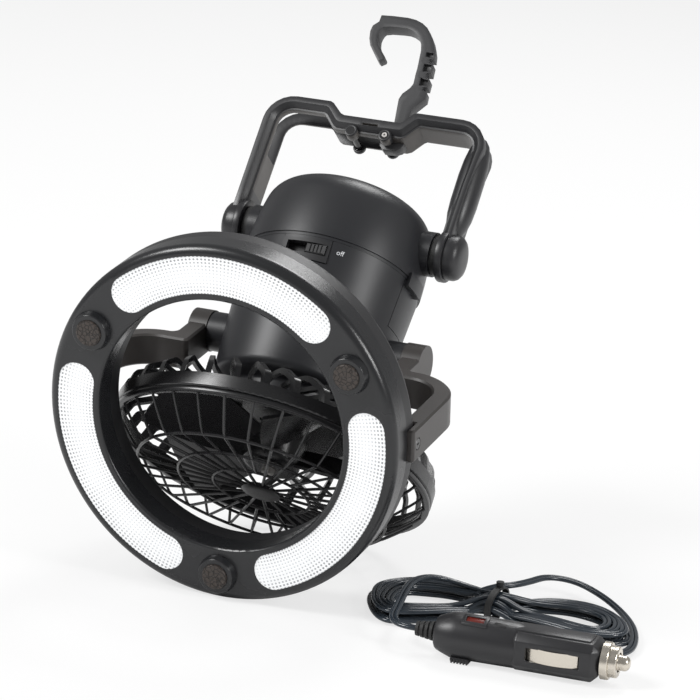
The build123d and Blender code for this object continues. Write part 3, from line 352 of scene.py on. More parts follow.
# %% Dress the frame
FINISHES = {
    ring_black: ("ring_bezel",),
    shell_black: ("ring_rear_shell", "battery_tray", "switch_frame", "dc_jack", "switch_board"),
    lens_white: ("lens_upper", "lens_left", "lens_right"),
    board_white: ("led_board_upper", "led_board_left", "led_board_right"),
    pad_brown: ("foot_pad_right", "foot_pad_left", "foot_pad_lower"),
    yoke_brown: ("yoke_arm_right", "yoke_arm_left"),
    housing_black: ("tower_housing", "tower_dome", "battery_door", "tower_band"),
    cage_black: ("cage_rear", "cage_front", "impeller"),
    handle_black: ("handle_bail", "handle_cap_right", "handle_cap_left"),
    hook_grey: ("hanging_hook",),
    knob_black: ("switch_slider",),
    plug_black: ("car_plug_body", "dc_plug_body"),
    rubber_black: ("car_plug_strain_relief", "handle_washer_right", "handle_washer_left", "lead_tie"),
    pin_black: ("hook_pin", "stop_pin"),
    dark_steel: ("yoke_screw_right", "yoke_screw_left", "ring_screws", "cage_screws", "door_pin"),
    steel: ("motor_can", "motor_screws", "handle_screw_right", "handle_screw_left", "fan_shaft",
            "impeller_nut"),
    nickel: ("battery_contacts", "car_plug_contact_front", "car_plug_contact_rear", "car_plug_nose_ring",
             "car_plug_tip", "dc_plug_barrel"),
}


def dress(name, material):
    """Give a carried-over part its one material, shaded smooth."""
    mesh = nodes[name].data
    mesh.materials.clear()
    mesh.materials.append(material)
    mesh.polygons.foreach_set("use_smooth", [True] * len(mesh.polygons))


for material, names in FINISHES.items():
    for name in names:
        dress(name, material)
print("dressed", sum(len(names) for names in FINISHES.values()), "of", len(nodes), "nodes")

# %% [markdown]
# The lead is one cord from the car plug to the small round connector: a limp twin flex about 4 mm wide. A few
# centimetres at each end lie free, and the rest is folded into a flat hank held by a twist tie. The hank
# is a slack coil pinched in the middle, so the cord goes round and round, each turn a little smaller than
# the last and on the one before.

# %% The power lead
LEAD_WIDTH = 0.004
CORE_R = LEAD_WIDTH / 4
HANK_STATIONS = ((63, 50, 16), (76, 43, 30), (95, 50, 24), (116, 54, 10), (122, 54, 10), (143, 61, 18),
                 (165, 57, 21), (181, 51, 13))
HANK_LEFT, HANK_RIGHT, HANK_SHRINK = 61, 183, 26
TIE_LEFT, TIE_RIGHT, TIE_Y = 115, 123, 54
LAYER_LOW, LAYER_RISE = 2.3, 3.9
SWAY, LIFT = 0.6, 0.5
FLOOR_Y = -104.9551
TIE_SLOTS = ((9.4, 7.4), (6.2, 4.8), (6.0, 9.6), (2.2, 3.7), (2.2, 7.3), (2.2, 10.8))
TURN_SIZES = (1.0, 0.91, 0.82, 0.74, 0.62, 0.54)


def on_floor(x, y, z):
    """Millimetres from the ring's middle, on the floor plan, to a point in the row frame."""
    return (x * MM, (y + FLOOR_Y) * MM, z * MM)


def hank_at(x):
    """Middle and half width of the hank at x."""
    for first, second in zip(HANK_STATIONS, HANK_STATIONS[1:]):
        if x <= second[0]:
            share = max(0.0, (x - first[0]) / (second[0] - first[0]))
            return tuple(a + (b - a) * share for a, b in zip(first[1:], second[1:]))
    return HANK_STATIONS[-1][1:]


# Each bend is (x, share of the half width); an x of 0 stands for the turn's own end.
RIGHT_BEND = ((134, 1), (148, 1), (162, 1), (174, 0.8), (0, 0.3), (0, -0.35), (174, -0.85), (162, -1),
              (148, -1), (134, -1))
LEFT_BEND = ((104, -1), (92, -1), (80, -1), (70, -0.85), (0, -0.35), (0, 0.35), (70, 0.85), (80, 1),
             (92, 1), (104, 1))


def hank_turn(index, rng):
    """One turn: right along the far side, back along the near side, and right again to the tie."""
    size = TURN_SIZES[index]
    layer = LAYER_LOW + LAYER_RISE * (index % 2)
    lane, lane_z = TIE_SLOTS[index]
    left, right = HANK_LEFT + HANK_SHRINK * (1 - size), HANK_RIGHT - HANK_SHRINK * (1 - size)

    def placed(at, side):
        middle_y, half = hank_at(at)
        across = middle_y + side * half * size
        return (at, across + rng.uniform(-SWAY, SWAY), layer + rng.uniform(0, LIFT))

    points = [(TIE_LEFT, TIE_Y + lane, lane_z), (TIE_RIGHT, TIE_Y + lane, lane_z)]
    points += [placed(min(x, right - 3) if x else right, side) for x, side in RIGHT_BEND]
    points += [(TIE_RIGHT, TIE_Y - lane, lane_z), (TIE_LEFT, TIE_Y - lane, lane_z)]
    points += [placed(max(x, left + 3) if x else left, side) for x, side in LEFT_BEND]
    return points


TAIL_TO_PLUG = ((102.92, -6.25, 10.5), (94.94, -6.8, 10.5), (88.5, 0.5, 10.8), (86.5, 13.0, 12.0),
                (83.0, 29.0, 13.4), (81.0, 46.0, 13.8), (86.0, 60.0, 12.4), (97.0, 66.0, 9.0))
TAIL_TO_CONNECTOR = ((113, 68, 10.0), (120.5, 73, 10.6), (124.0, 84.0, 9.6), (128.0, 98.0, 9.0),
                     (140.0, 104.5, 7.0), (155.0, 98.5, 4.6), (168.5, 87.0, 2.6), (179.0, 71.0, 2.3),
                     (185.5, 54.0, 2.3), (188.0, 38.0, 2.4), (183.5, 26.0, 3.6), (174.0, 20.6, 5.0),
                     (164.0, 19.4, 5.0))


def lead_route():
    """The route's points in metres, from the car plug through the hank to the connector."""
    rng = random.Random(4)
    route = list(TAIL_TO_PLUG)
    for index in range(len(TURN_SIZES)):
        route += hank_turn(index, rng)
    return [on_floor(*point) for point in route + list(TAIL_TO_CONNECTOR)]


def twin_section():
    """The lead's own section: two round cores side by side."""
    data = bpy.data.curves.new("twin_section", "CURVE")
    data.dimensions = "2D"
    sides = 10
    for middle_x in (-CORE_R, CORE_R):
        spline = data.splines.new("POLY")
        spline.points.add(sides - 1)
        for index, point in enumerate(spline.points):
            angle = math.tau * index / sides
            point.co = (middle_x + CORE_R * 1.04 * math.cos(angle), CORE_R * math.sin(angle), 0, 1)
        spline.use_cyclic_u = True
    return bpy.data.objects.new("twin_section", data)


def nurbs(name, points):
    """A smooth curve near its points, with the twin section swept along it."""
    data = bpy.data.curves.new(name, "CURVE")
    data.dimensions = "3D"
    spline = data.splines.new("NURBS")
    spline.points.add(len(points) - 1)
    for point, place in zip(spline.points, points):
        point.co = (*place, 1)
    spline.order_u = 3
    spline.use_endpoint_u = True
    data.resolution_u = 6
    data.bevel_mode = "OBJECT"
    data.bevel_object = twin_section()
    data.use_fill_caps = True
    made = bpy.data.objects.new(name, data)
    scene.collection.objects.link(made)
    return made


def line_length(piece):
    """Length of a curve's own line, measured on a copy without its bevel."""
    data = piece.data.copy()
    data.bevel_object = None
    bare = bpy.data.objects.new("bare", data)
    scene.collection.objects.link(bare)
    bpy.context.view_layer.update()
    mesh = bpy.data.meshes.new_from_object(bare.evaluated_get(bpy.context.evaluated_depsgraph_get()))
    points = [vertex.co for vertex in mesh.vertices]
    bpy.data.objects.remove(bare)
    return sum((b - a).length for a, b in zip(points, points[1:]))


lead = nurbs("power_lead", lead_route())
cord_finish = moulded("cord_gloss_black", (0.02, 0.028, 0.038), 0.16, pale=0.014)
lead.data.materials.append(cord_finish)
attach(lead, "ring_light")
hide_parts("lead_hank", "lead_tail_plug", "lead_tail_connector")
lead_metres = line_length(lead)
print("lead", round(lead_metres, 3), "m")

# %% [markdown]
# Pieces are modelled as by hand. A strip is grown from one edge: the edge is extruded to the next station,
# turned and resized, until the outline is done. The strip is then extruded into a solid, which is worked on by
# its faces.

# %% Modelling helpers
def pick(test, kind="FACE"):
    """In edit mode, select the faces, edges or vertices that pass the test, and count them."""
    bpy.ops.mesh.select_mode(type=kind)
    bpy.ops.mesh.select_all(action="DESELECT")
    mesh = bpy.context.edit_object.data
    shape = bmesh.from_edit_mesh(mesh)
    parts = {"FACE": shape.faces, "EDGE": shape.edges, "VERT": shape.verts}[kind]
    count = 0
    for part in parts:
        if test(part):
            part.select_set(True)
            count += 1
    shape.select_flush_mode()
    bmesh.update_edit_mesh(mesh)
    return count


def slide(x=0.0, y=0.0, z=0.0):
    """Extrude what is selected by a distance in millimetres."""
    bpy.ops.mesh.extrude_region_move(TRANSFORM_OT_translate={"value": (x * MM, y * MM, z * MM)})


def fresh(name):
    """Name the primitive just added, and apply its place to its mesh."""
    piece = bpy.context.active_object
    piece.name = piece.data.name = name
    bpy.ops.object.transform_apply(location=True, rotation=True, scale=True)
    return piece


def strip(name, stations, columns=1):
    """A flat strip in the XZ plane through pairs of points (outer, inner), in millimetres."""
    (ax, az), (bx, bz) = stations[0]
    middle = Vector(((ax + bx) / 2, 0, (az + bz) / 2)) * MM
    bpy.ops.mesh.primitive_plane_add(size=MM, location=middle, rotation=(math.pi / 2, 0, 0))
    piece = fresh(name)
    bpy.ops.object.mode_set(mode="EDIT")
    pick(lambda vertex: vertex.co.z > middle.z, "VERT")
    bpy.ops.mesh.delete(type="VERT")
    bpy.ops.mesh.select_all(action="SELECT")
    bpy.ops.transform.translate(value=(0, 0, MM / 2))
    if columns > 1:
        bpy.ops.mesh.subdivide(number_cuts=columns - 1)
    last, last_angle, last_length = middle, 0.0, 1.0
    for index, ((ax, az), (bx, bz)) in enumerate(stations):
        place = Vector(((ax + bx) / 2, 0, (az + bz) / 2)) * MM
        angle = math.atan2(az - bz, ax - bx)
        length = math.hypot(az - bz, ax - bx)
        if index:
            slide()
        bpy.ops.transform.translate(value=place - last)
        turn = (angle - last_angle + math.pi) % math.tau - math.pi
        bpy.ops.transform.rotate(value=turn, orient_axis="Y", center_override=place)
        growth = length / last_length
        bpy.ops.transform.resize(value=(growth,) * 3, center_override=place)
        last, last_angle, last_length = place, angle, length
    return piece


def face_outwards():
    """In edit mode, select all and turn every face outwards."""
    bpy.ops.mesh.select_all(action="SELECT")
    bpy.ops.mesh.normals_make_consistent(inside=False)


def thicken(levels):
    """Extrude the selected strip through the given depths along Y, in millimetres."""
    bpy.ops.mesh.select_all(action="SELECT")
    bpy.ops.transform.translate(value=(0, levels[0] * MM, 0))
    for near, far in zip(levels, levels[1:]):
        slide(y=far - near)
    face_outwards()


def beside(part, line, reach):
    """True when a face's middle lies within reach of a line of points in the XZ plane, in millimetres."""
    spot = part.calc_center_median() / MM
    spot = Vector((spot.x, spot.z))
    for first, second in zip(line, line[1:]):
        first, second = Vector(first), Vector(second)
        along = second - first
        share = max(0.0, min(1.0, (spot - first).dot(along) / max(along.length_squared, 1e-9)))
        if (spot - first - along * share).length < reach:
            return True
    return False


def done_editing():
    """Turn every face outwards and leave edit mode."""
    face_outwards()
    bpy.ops.object.mode_set(mode="OBJECT")


def modify(piece, kind, **settings):
    """Add a modifier and apply it."""
    bpy.ops.object.modifier_add(type=kind)
    made = piece.modifiers[-1]
    for key, value in settings.items():
        setattr(made, key, value)
    bpy.ops.object.modifier_apply(modifier=made.name)


def turned(name, steps, sides=40):
    """A round solid along Z from steps of (z, radius): a disc, extruded and resized step by step."""
    first_z, first_radius = steps[0]
    bpy.ops.mesh.primitive_circle_add(vertices=sides, radius=first_radius * MM, location=(0, 0, first_z * MM),
                                      fill_type="NGON")
    piece = fresh(name)
    bpy.ops.object.mode_set(mode="EDIT")
    bpy.ops.mesh.select_all(action="SELECT")
    for (z0, r0), (z1, r1) in zip(steps, steps[1:]):
        slide(z=z1 - z0)
        bpy.ops.transform.resize(value=(r1 / r0, r1 / r0, 1), center_override=(0, 0, z1 * MM))
    done_editing()
    return piece


def settle(piece, axes, body, material, soft_angle=35):
    """Leave edit mode, shade, place the mesh in the row's frame and say what the piece rides on."""
    if bpy.context.object and bpy.context.object.mode == "EDIT":
        bpy.ops.object.mode_set(mode="OBJECT")
    bpy.ops.object.select_all(action="DESELECT")
    piece.select_set(True)
    bpy.context.view_layer.objects.active = piece
    bpy.ops.object.shade_smooth_by_angle(angle=math.radians(soft_angle))
    piece.data.transform(axes)
    piece.data.update()
    if not piece.data.materials:
        piece.data.materials.append(material)
    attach(piece, body)
    piece.select_set(False)
    print(piece.name, len(piece.data.polygons), "faces")


def join(first, *others):
    """Make one piece of several; shells that overlap stay closed shells of their own."""
    bpy.ops.object.select_all(action="DESELECT")
    for piece in (first, *others):
        piece.select_set(True)
    bpy.context.view_layer.objects.active = first
    bpy.ops.object.join()
    return first


# %% [markdown]
# The hanging hook is a flat bar with square teeth down its back, by which it can be caught at several heights.
# A lip runs along the inside of its bend, where a branch or a tent loop bears on it. The upper teeth have a
# square pocket each.

# %% The hanging hook
HOOK_PAIRS = (
    ((11.0, 108.2), (4.9, 108.0)), ((13.6, 109.6), (2.9, 109.8)), ((14.7, 112.0), (2.4, 112.0)),
    ((13.4, 121.0), (6.8, 120.0)), ((12.8, 128.4), (5.8, 127.4)), ((12.8, 131.6), (4.7, 136.2)),
    ((17.8, 138.4), (5.6, 139.4)), ((17.4, 142.2), (8.2, 142.6)), ((14.9, 142.4), (8.6, 143.2)),
    ((14.9, 144.4), (9.4, 145.2)), ((17.2, 144.6), (9.5, 145.9)), ((16.9, 149.2), (9.2, 149.6)),
    ((14.5, 149.4), (9.1, 150.2)), ((14.4, 152.3), (9.0, 152.9)), ((16.6, 152.5), (9.0, 153.6)),
    ((16.1, 157.8), (8.6, 157.8)), ((13.7, 158.0), (8.5, 158.4)), ((13.6, 160.2), (8.3, 160.4)),
    ((15.9, 160.4), (8.2, 161.2)), ((15.1, 164.4), (7.9, 164.2)), ((13.6, 168.0), (7.0, 167.4)),
    ((12.0, 171.2), (5.8, 169.9)), ((10.0, 174.2), (4.2, 172.0)), ((7.4, 177.2), (2.2, 173.8)),
    ((4.2, 179.4), (-0.2, 175.0)), ((0.4, 180.8), (-2.8, 175.6)), ((-4.0, 181.4), (-6.0, 175.6)),
    ((-12.0, 181.3), (-12.0, 175.2)), ((-17.9, 180.9), (-15.2, 174.4)), ((-18.1, 177.2), (-16.0, 173.2)),
    ((-20.6, 174.6), (-16.4, 171.4)), ((-21.0, 171.4), (-16.5, 169.6)), ((-20.2, 167.2), (-15.9, 166.9)),
    ((-18.6, 163.4), (-14.6, 164.3)), ((-15.2, 159.2), (-11.9, 161.2)), ((-12.8, 156.4), (-9.4, 158.4)),
    ((-11.6, 155.6), (-9.4, 157.2)),
)
HOOK_Y = (-1.8, 3.8)
LIP_Y, LIP_FROM_Z = 6.2, 136.2
TOOTH_MIDDLES = ((13.4, 147.2), (13.0, 155.2), (12.4, 163.0))
TOOTH_REACH, POCKET_RIM, POCKET_DEPTH = 2.6, 0.45, 2.2
hook = strip("hanging_hook_bar", HOOK_PAIRS, 3)
thicken(HOOK_Y)
lip_line = [tuple(b + (a - b) / 6 for a, b in zip(*pair)) for pair in HOOK_PAIRS[5:-2]]
pick(lambda face: face.normal.y > 0.9 and beside(face, lip_line, 0.9)
     and face.calc_center_median().z > LIP_FROM_Z * MM)
slide(y=LIP_Y - HOOK_Y[1])


def tooth_face(face):
    spot = face.calc_center_median() / MM
    near = any(math.hypot(spot.x - x, spot.z - z) < TOOTH_REACH for x, z in TOOTH_MIDDLES)
    return face.normal.y < -0.9 and near


print("pocket faces", pick(tooth_face))
bpy.ops.mesh.inset(thickness=POCKET_RIM * MM, use_individual=False)
slide(y=POCKET_DEPTH)
done_editing()
modify(hook, "BEVEL", width=0.45 * MM, segments=2, limit_method="ANGLE", angle_limit=math.radians(50))
settle(hook, tower_axes, "hook", hook_grey, 40)
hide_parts("hanging_hook")

# %% [markdown]
# The carrying handle is a thick strap with a raised band along its inside. A long slot runs from the left arm
# round the corner and along the top, for the hook to fold into, and the right arm carries a rounded grip.

# %% The handle's strap
HANDLE_Z = 57.5
CORNER_LEFT, CORNER_RIGHT = (-43.0, 112.0), (43.0, 112.0)


def corner(centre, outer, inner, first, last, steps=6):
    """Stations round a bend, as (outer, inner) pairs, from one angle in degrees to another."""
    pairs = []
    for step in range(steps + 1):
        angle = math.radians(first + (last - first) * step / steps)
        cosine, sine = math.cos(angle), math.sin(angle)
        pairs.append(tuple((centre[0] + r * cosine, centre[1] + r * sine) for r in (outer, inner)))
    return pairs


HANDLE_PAIRS = (
    [((-57.0, 57.5), (-52.0, 57.5)), ((-57.0, 74.0), (-52.0, 74.0)), ((-57.0, 91.0), (-51.9, 95.0))]
    + corner(CORNER_LEFT, 14.0, 8.8, 180, 90)
    + [((-25.6, 126.0), (-27.8, 120.8)), ((-23.8, 125.2), (-26.2, 119.9)), ((-18.6, 120.3), (-21.2, 114.4)),
       ((-16.6, 119.5), (-19.4, 113.4)), ((-7.6, 119.5), (-7.6, 113.2)), ((3.2, 119.5), (3.2, 113.2)),
       ((12.4, 119.5), (13.6, 113.4)), ((13.6, 120.2), (15.4, 114.2)), ((17.6, 125.2), (20.2, 120.0)),
       ((19.4, 126.0), (21.8, 121.0))]
    + corner(CORNER_RIGHT, 14.0, 9.0, 90, 0)
    + [((56.2, 104.0), (51.6, 104.0)), ((55.4, 92.0), (50.9, 92.0)), ((55.0, 74.0), (50.6, 74.0)),
       ((55.0, 66.0), (50.6, 66.0)), ((55.0, 57.5), (50.6, 57.5))]
)
HANDLE_Y = (-9.5, -6.9, -3.6, 7.0, 8.2, 9.5)
handle_outer = [pair[0] for pair in HANDLE_PAIRS]
handle_inner = [pair[1] for pair in HANDLE_PAIRS]
handle = strip("handle_strap", HANDLE_PAIRS)
thicken(HANDLE_Y)
BAND_HEIGHT, FRONT_CUT = 1.0, 2.3


def between(face, low, high):
    """True when a face's middle lies between two depths, in millimetres."""
    return low < face.calc_center_median().y / MM < high


def front_inner(edge):
    """True for the strap's front edge on its inner side."""
    ends = [vertex.co / MM for vertex in edge.verts]
    spot = (ends[0] + ends[1]) / 2
    near = any((Vector((spot.x, spot.z)) - (Vector(a) + Vector(b)) / 2).length < 0.3
               for a, b in zip(handle_inner, handle_inner[1:]))
    return near and all(abs(end.y - HANDLE_Y[0]) < 0.01 for end in ends)


print("front edge", pick(front_inner, "EDGE"))
bpy.ops.mesh.bevel(offset=FRONT_CUT * MM, segments=1, affect="EDGES")
print("band faces", pick(lambda face: abs(face.normal.y) < 0.3 and between(face, HANDLE_Y[1], HANDLE_Y[4])
                         and beside(face, handle_inner, 0.3)))
bpy.ops.mesh.extrude_region_shrink_fatten(TRANSFORM_OT_shrink_fatten={"value": BAND_HEIGHT * MM})

# %% The handle's slot and grip
SLOT_STATIONS = (2, 15)
ARM_X, ARM_TOP_Z = -52.5, 90.0
RECESS_X, RECESS_TOP_Z, RECESS_MIDDLE, RECESS_DEPTH = (-7.6, 3.2), 120, (-2.2, 114.4), 4.5
slot_outer = handle_outer[SLOT_STATIONS[0]:SLOT_STATIONS[1] + 1]
slot_inner = handle_inner[SLOT_STATIONS[0]:SLOT_STATIONS[1] + 1]


def slot_face(face):
    """True for the faces that open the slot: mid depth, inside or outside, above the foot of the arm."""
    spot = face.calc_center_median() / MM
    if not between(face, *HANDLE_Y[2:4]) or abs(face.normal.y) >= 0.3:
        return False
    if spot.x < ARM_X and spot.z < ARM_TOP_Z:
        return False
    return beside(face, slot_outer, 0.3) or beside(face, slot_inner, BAND_HEIGHT + 0.3)


print("slot faces", pick(slot_face))
bpy.ops.mesh.delete(type="FACE")
pick(lambda edge: edge.is_boundary, "EDGE")
bpy.ops.mesh.bridge_edge_loops()
pick(lambda face: face.normal.y < -0.9 and between(face, -10, -9.4)
     and RECESS_X[0] < face.calc_center_median().x / MM < RECESS_X[1]
     and face.calc_center_median().z / MM < RECESS_TOP_Z)
bpy.ops.mesh.inset(thickness=1.0 * MM, depth=0.0)
bpy.ops.transform.resize(value=(0.9, 1, 0.6),
                         center_override=(RECESS_MIDDLE[0] * MM, 0, RECESS_MIDDLE[1] * MM))
slide(y=RECESS_DEPTH)
done_editing()
modify(handle, "BEVEL", width=0.5 * MM, segments=2, limit_method="ANGLE", angle_limit=math.radians(38))

# %% The handle's eyes and pin sleeves
def ring_piece(name, centre, inner, outer, span, axis, sides=40):
    """A washer-shaped solid along an axis: a circle, extruded outwards and then along."""
    tilt = {"x": (0, math.pi / 2, 0), "y": (math.pi / 2, 0, 0), "z": (0, 0, 0)}[axis]
    bpy.ops.mesh.primitive_circle_add(vertices=sides, radius=inner * MM, location=Vector(centre) * MM,
                                      rotation=tilt)
    piece = fresh(name)
    bpy.ops.object.mode_set(mode="EDIT")
    bpy.ops.mesh.select_all(action="SELECT")
    bpy.ops.mesh.extrude_edges_move()
    bpy.ops.transform.resize(value=(outer / inner,) * 3, center_override=Vector(centre) * MM)
    bpy.ops.mesh.select_all(action="SELECT")
    slide(**{axis: span})
    done_editing()
    modify(piece, "BEVEL", width=0.6 * MM, segments=2, limit_method="ANGLE", angle_limit=math.radians(50))
    return piece


EYE_R, EYE_BORE, EYE_X, EYE_DEPTH = 12.4, 6.2, 50.2, 3.6
PIN_X, PIN_Z, SLEEVE_BORE, SLEEVE_R = (6.6, -10.9), 112.0, 1.75, 3.2
eye_right = ring_piece("eye_right", (EYE_X, 0, HANDLE_Z), EYE_BORE, EYE_R, EYE_DEPTH, "x")
eye_left = ring_piece("eye_left", (-EYE_X, 0, HANDLE_Z), EYE_BORE, EYE_R, -EYE_DEPTH, "x")
sleeves = []
for x in PIN_X:
    for y, depth in ((-9.4, 5.8), (7.1, 2.3)):
        sleeves.append(ring_piece("sleeve", (x, y, PIN_Z), SLEEVE_BORE, SLEEVE_R, depth, "y", 24))
GRIP_STEPS = ((65.5, 0.7), (66.8, 2.6), (69.5, 4.6), (73.5, 6.6), (79.0, 7.9), (86.0, 8.4), (100.0, 8.4),
              (108.0, 7.9), (114.0, 6.8), (118.6, 4.8), (121.0, 2.4), (121.8, 0.8))
GRIP_X, GRIP_Y, GRIP_BULGE = 52.6, 0.3, 0.76
arm_grip = turned("arm_grip", GRIP_STEPS, 28)
grip_place = Matrix.Translation((GRIP_X * MM, GRIP_Y * MM, 0))
arm_grip.data.transform(grip_place @ Matrix.Diagonal((GRIP_BULGE, 1, 1, 1)))
handle = join(handle, eye_right, eye_left, arm_grip, *sleeves)
handle.data.materials.append(handle_black)
handle.data.materials.append(inner_sheen_and_dust)
SMALLEST_FACE, INNER_REACH, INNER_FROM_Z, INNER_MIDDLE_Z = 2e-6, 22, 66, 92


def faces_in(polygon):
    """True for the larger faces of the handle that look towards its inside."""
    spot = polygon.center / MM
    if abs(polygon.normal.y) >= 0.3 or abs(spot.y) >= HANDLE_Y[4] or polygon.area <= SMALLEST_FACE:
        return False
    probe = Vector((spot.x, spot.z))
    near = any((probe - Vector(point)).length < INNER_REACH for point in handle_inner)
    toward = Vector((-spot.x, INNER_MIDDLE_Z - spot.z))
    looks_in = toward.dot(Vector((polygon.normal.x, polygon.normal.z))) > 0
    return near and spot.z > INNER_FROM_Z and looks_in


# The larger faces that look towards the handle's inside take the paler material, a painted reflection together
# with dust.
sheen_and_dust_face = [int(faces_in(polygon)) for polygon in handle.data.polygons]
handle.data.polygons.foreach_set("material_index", sheen_and_dust_face)
settle(handle, tower_axes, "handle", handle_black, 40)
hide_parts("handle_bail")

# %% The handle's end caps
CAP_STEPS = ((53.6, 10.4), (54.2, 11.0), (57.6, 10.9), (59.2, 10.2), (60.4, 8.8), (61.1, 6.6), (61.45, 4.0),
             (61.5, 1.4))
for name, side in (("right", 1), ("left", -1)):
    cap = turned("end_cap_" + name, CAP_STEPS, 48)
    cap_axes = tower_axes @ Matrix.Translation((0, 0, HANDLE_Z * MM)) \
        @ Matrix.Rotation(side * math.pi / 2, 4, "Y")
    settle(cap, cap_axes, "handle", handle_black, 30)
    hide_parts("handle_cap_" + name)

# %% [markdown]
# The front grille is a basket of round bars: each rib comes down from the rim, turns in under the blades and
# runs to the hub disc, and every second one stops at the inner hoop. One rib of each length is made, and the
# rest are copies. The bars overlap where they cross, each one a closed solid.

# %% The front grille
def bar(name, points, radius, sides=8):
    """A round bar through points in the XZ plane: a disc, extruded and turned at every point."""
    spots = [Vector((x, 0, z)) * MM for x, z in points]
    headings = [math.atan2(b.z - a.z, b.x - a.x) for a, b in zip(spots, spots[1:])]
    bpy.ops.mesh.primitive_circle_add(vertices=sides, radius=radius * MM, location=spots[0], fill_type="NGON",
                                      rotation=(0, math.pi / 2 - headings[0], 0))
    piece = fresh(name)
    bpy.ops.object.mode_set(mode="EDIT")
    bpy.ops.mesh.select_all(action="SELECT")
    facing = headings[0]
    for index in range(1, len(spots)):
        slide()
        bpy.ops.transform.translate(value=spots[index] - spots[index - 1])
        after = headings[min(index, len(headings) - 1)]
        half = ((after - headings[index - 1] + math.pi) % math.tau - math.pi) / 2
        wanted = headings[index - 1] + half
        turn = (wanted - facing + math.pi) % math.tau - math.pi
        bpy.ops.transform.rotate(value=turn, orient_axis="Y", center_override=spots[index])
        facing = wanted
    done_editing()
    return piece


def turned_copies(piece, count, first):
    """Copies of a piece round the Z axis, each with its own mesh; the piece itself is the first."""
    made = [piece]
    for index in range(1, count):
        copy = piece.copy()
        copy.data = piece.data.copy()
        scene.collection.objects.link(copy)
        copy.data.transform(Matrix.Rotation(math.tau * index / count, 4, "Z"))
        made.append(copy)
    for one in made:
        one.data.transform(Matrix.Rotation(first, 4, "Z"))
    return made


GRILLE_Z, RIB_PAIRS = -75.85, 17
LONG_RIB_R, SHORT_RIB_R, HOOP_R = 0.72, 0.66, 0.75
HOOP_RADII = (60.2, 40.4, 23.4)
RIM_Z, RIM_INNER, RIM_OUTER, RIM_DEPTH = -62.4, 73.6, 77.3, 2.4
RIB_SIDE = ((75.9, -60.4), (75.0, -61.8), (73.2, -64.0), (70.4, -67.0), (67.4, -70.0), (64.6, -72.7),
            (62.9, -74.2), (61.3, -75.3), (59.4, -75.8), (57.0, GRILLE_Z))
HUB_STEPS = ((-74.4, 7.6), (-75.2, 9.2), (-76.5, 9.4), (-77.1, 8.6), (-77.4, 6.0), (-77.45, 2.0))
long_rib = bar("long_rib", RIB_SIDE + ((41.0, GRILLE_Z), (24.0, GRILLE_Z), (7.0, GRILLE_Z)), LONG_RIB_R)
short_rib = bar("short_rib", RIB_SIDE + ((41.0, GRILLE_Z), (23.4, GRILLE_Z)), SHORT_RIB_R)
grille_parts = turned_copies(long_rib, RIB_PAIRS, -math.pi / 2)
grille_parts += turned_copies(short_rib, RIB_PAIRS, -math.pi / 2 + math.pi / RIB_PAIRS)
for radius in HOOP_RADII:
    bpy.ops.mesh.primitive_torus_add(major_radius=radius * MM, minor_radius=HOOP_R * MM, major_segments=84,
                                     minor_segments=8, location=(0, 0, GRILLE_Z * MM))
    grille_parts.append(fresh("hoop"))
grille_parts.append(turned("hub_disc", HUB_STEPS))
grille_parts.append(ring_piece("grille_rim", (0, 0, RIM_Z), RIM_INNER, RIM_OUTER, RIM_DEPTH, "z", 84))
grille = join(*grille_parts)
grille.name = grille.data.name = "front_grille"
settle(grille, tower_axes, "tower", cage_black, 40)
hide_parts("cage_front")

# %% [markdown]
# The car plug is a moulded grip, round at the lead's end and square with cut corners at the nose. Each side of
# the nose has a window, with a bowed spring contact standing in it. A red lamp window sits on its back.

# %% The car plug
PLUG_REAR, PLUG_NOSE, PLUG_HEIGHT = (110.9, -5.7), (187.9, -0.4), 10.5
plug_turn = math.atan2(PLUG_NOSE[1] - PLUG_REAR[1], PLUG_NOSE[0] - PLUG_REAR[0])
plug_axes = Matrix.Translation(on_floor(*PLUG_REAR, PLUG_HEIGHT)) @ Matrix.Rotation(plug_turn, 4, "Z") \
    @ Matrix(((0, 0, 1, 0), (0, -1, 0, 0), (1, 0, 0, 0), (0, 0, 0, 1)))


def block(name, low, high, chamfer, segments=2):
    """A box between two corners with its edges cut or rounded."""
    low, high = Vector(low) * MM, Vector(high) * MM
    bpy.ops.mesh.primitive_cube_add(size=1, location=(low + high) / 2, scale=high - low)
    piece = fresh(name)
    if chamfer:
        bpy.ops.object.mode_set(mode="EDIT")
        bpy.ops.mesh.select_all(action="SELECT")
        bpy.ops.mesh.bevel(offset=chamfer * MM, segments=segments, affect="EDGES")
        bpy.ops.object.mode_set(mode="OBJECT")
    return piece


LAMP_TURN = 24
PLUG_STEPS = ((1.0, 5.2), (1.6, 7.4), (4.4, 8.6), (9.0, 10.2), (12.0, 10.4), (38.0, 10.2), (42.0, 9.2))
NOSE_FACE_X, NOSE_FACE_Z, WINDOW_MIDDLE_Z, WINDOW_DEPTH = 12.0, (40.4, 73.2), 56.0, 3.4
WINDOW = ((-3.4, 3.6), (44.2, 67.8))
grip = turned("plug_grip", PLUG_STEPS)
modify(grip, "BEVEL", width=0.8 * MM, segments=2, limit_method="ANGLE", angle_limit=math.radians(22))
nose = block("plug_nose", (-8.9, -9.9, 36.0), (8.5, 9.9, 76.6), 3.2, 1)
bpy.ops.object.mode_set(mode="EDIT")
grow_x = (WINDOW[0][1] - WINDOW[0][0]) / NOSE_FACE_X
grow_z = (WINDOW[1][1] - WINDOW[1][0]) / (NOSE_FACE_Z[1] - NOSE_FACE_Z[0])
for side in (-1, 1):
    pick(lambda face: face.normal.y * side > 0.95)
    bpy.ops.mesh.inset(thickness=0.4 * MM)
    bpy.ops.transform.resize(value=(grow_x, 1, grow_z), center_override=(0, 0, WINDOW_MIDDLE_Z * MM))
    slide(y=-side * WINDOW_DEPTH)
bpy.ops.object.mode_set(mode="OBJECT")
modify(nose, "BEVEL", width=0.5 * MM, segments=2, limit_method="ANGLE", angle_limit=math.radians(25))
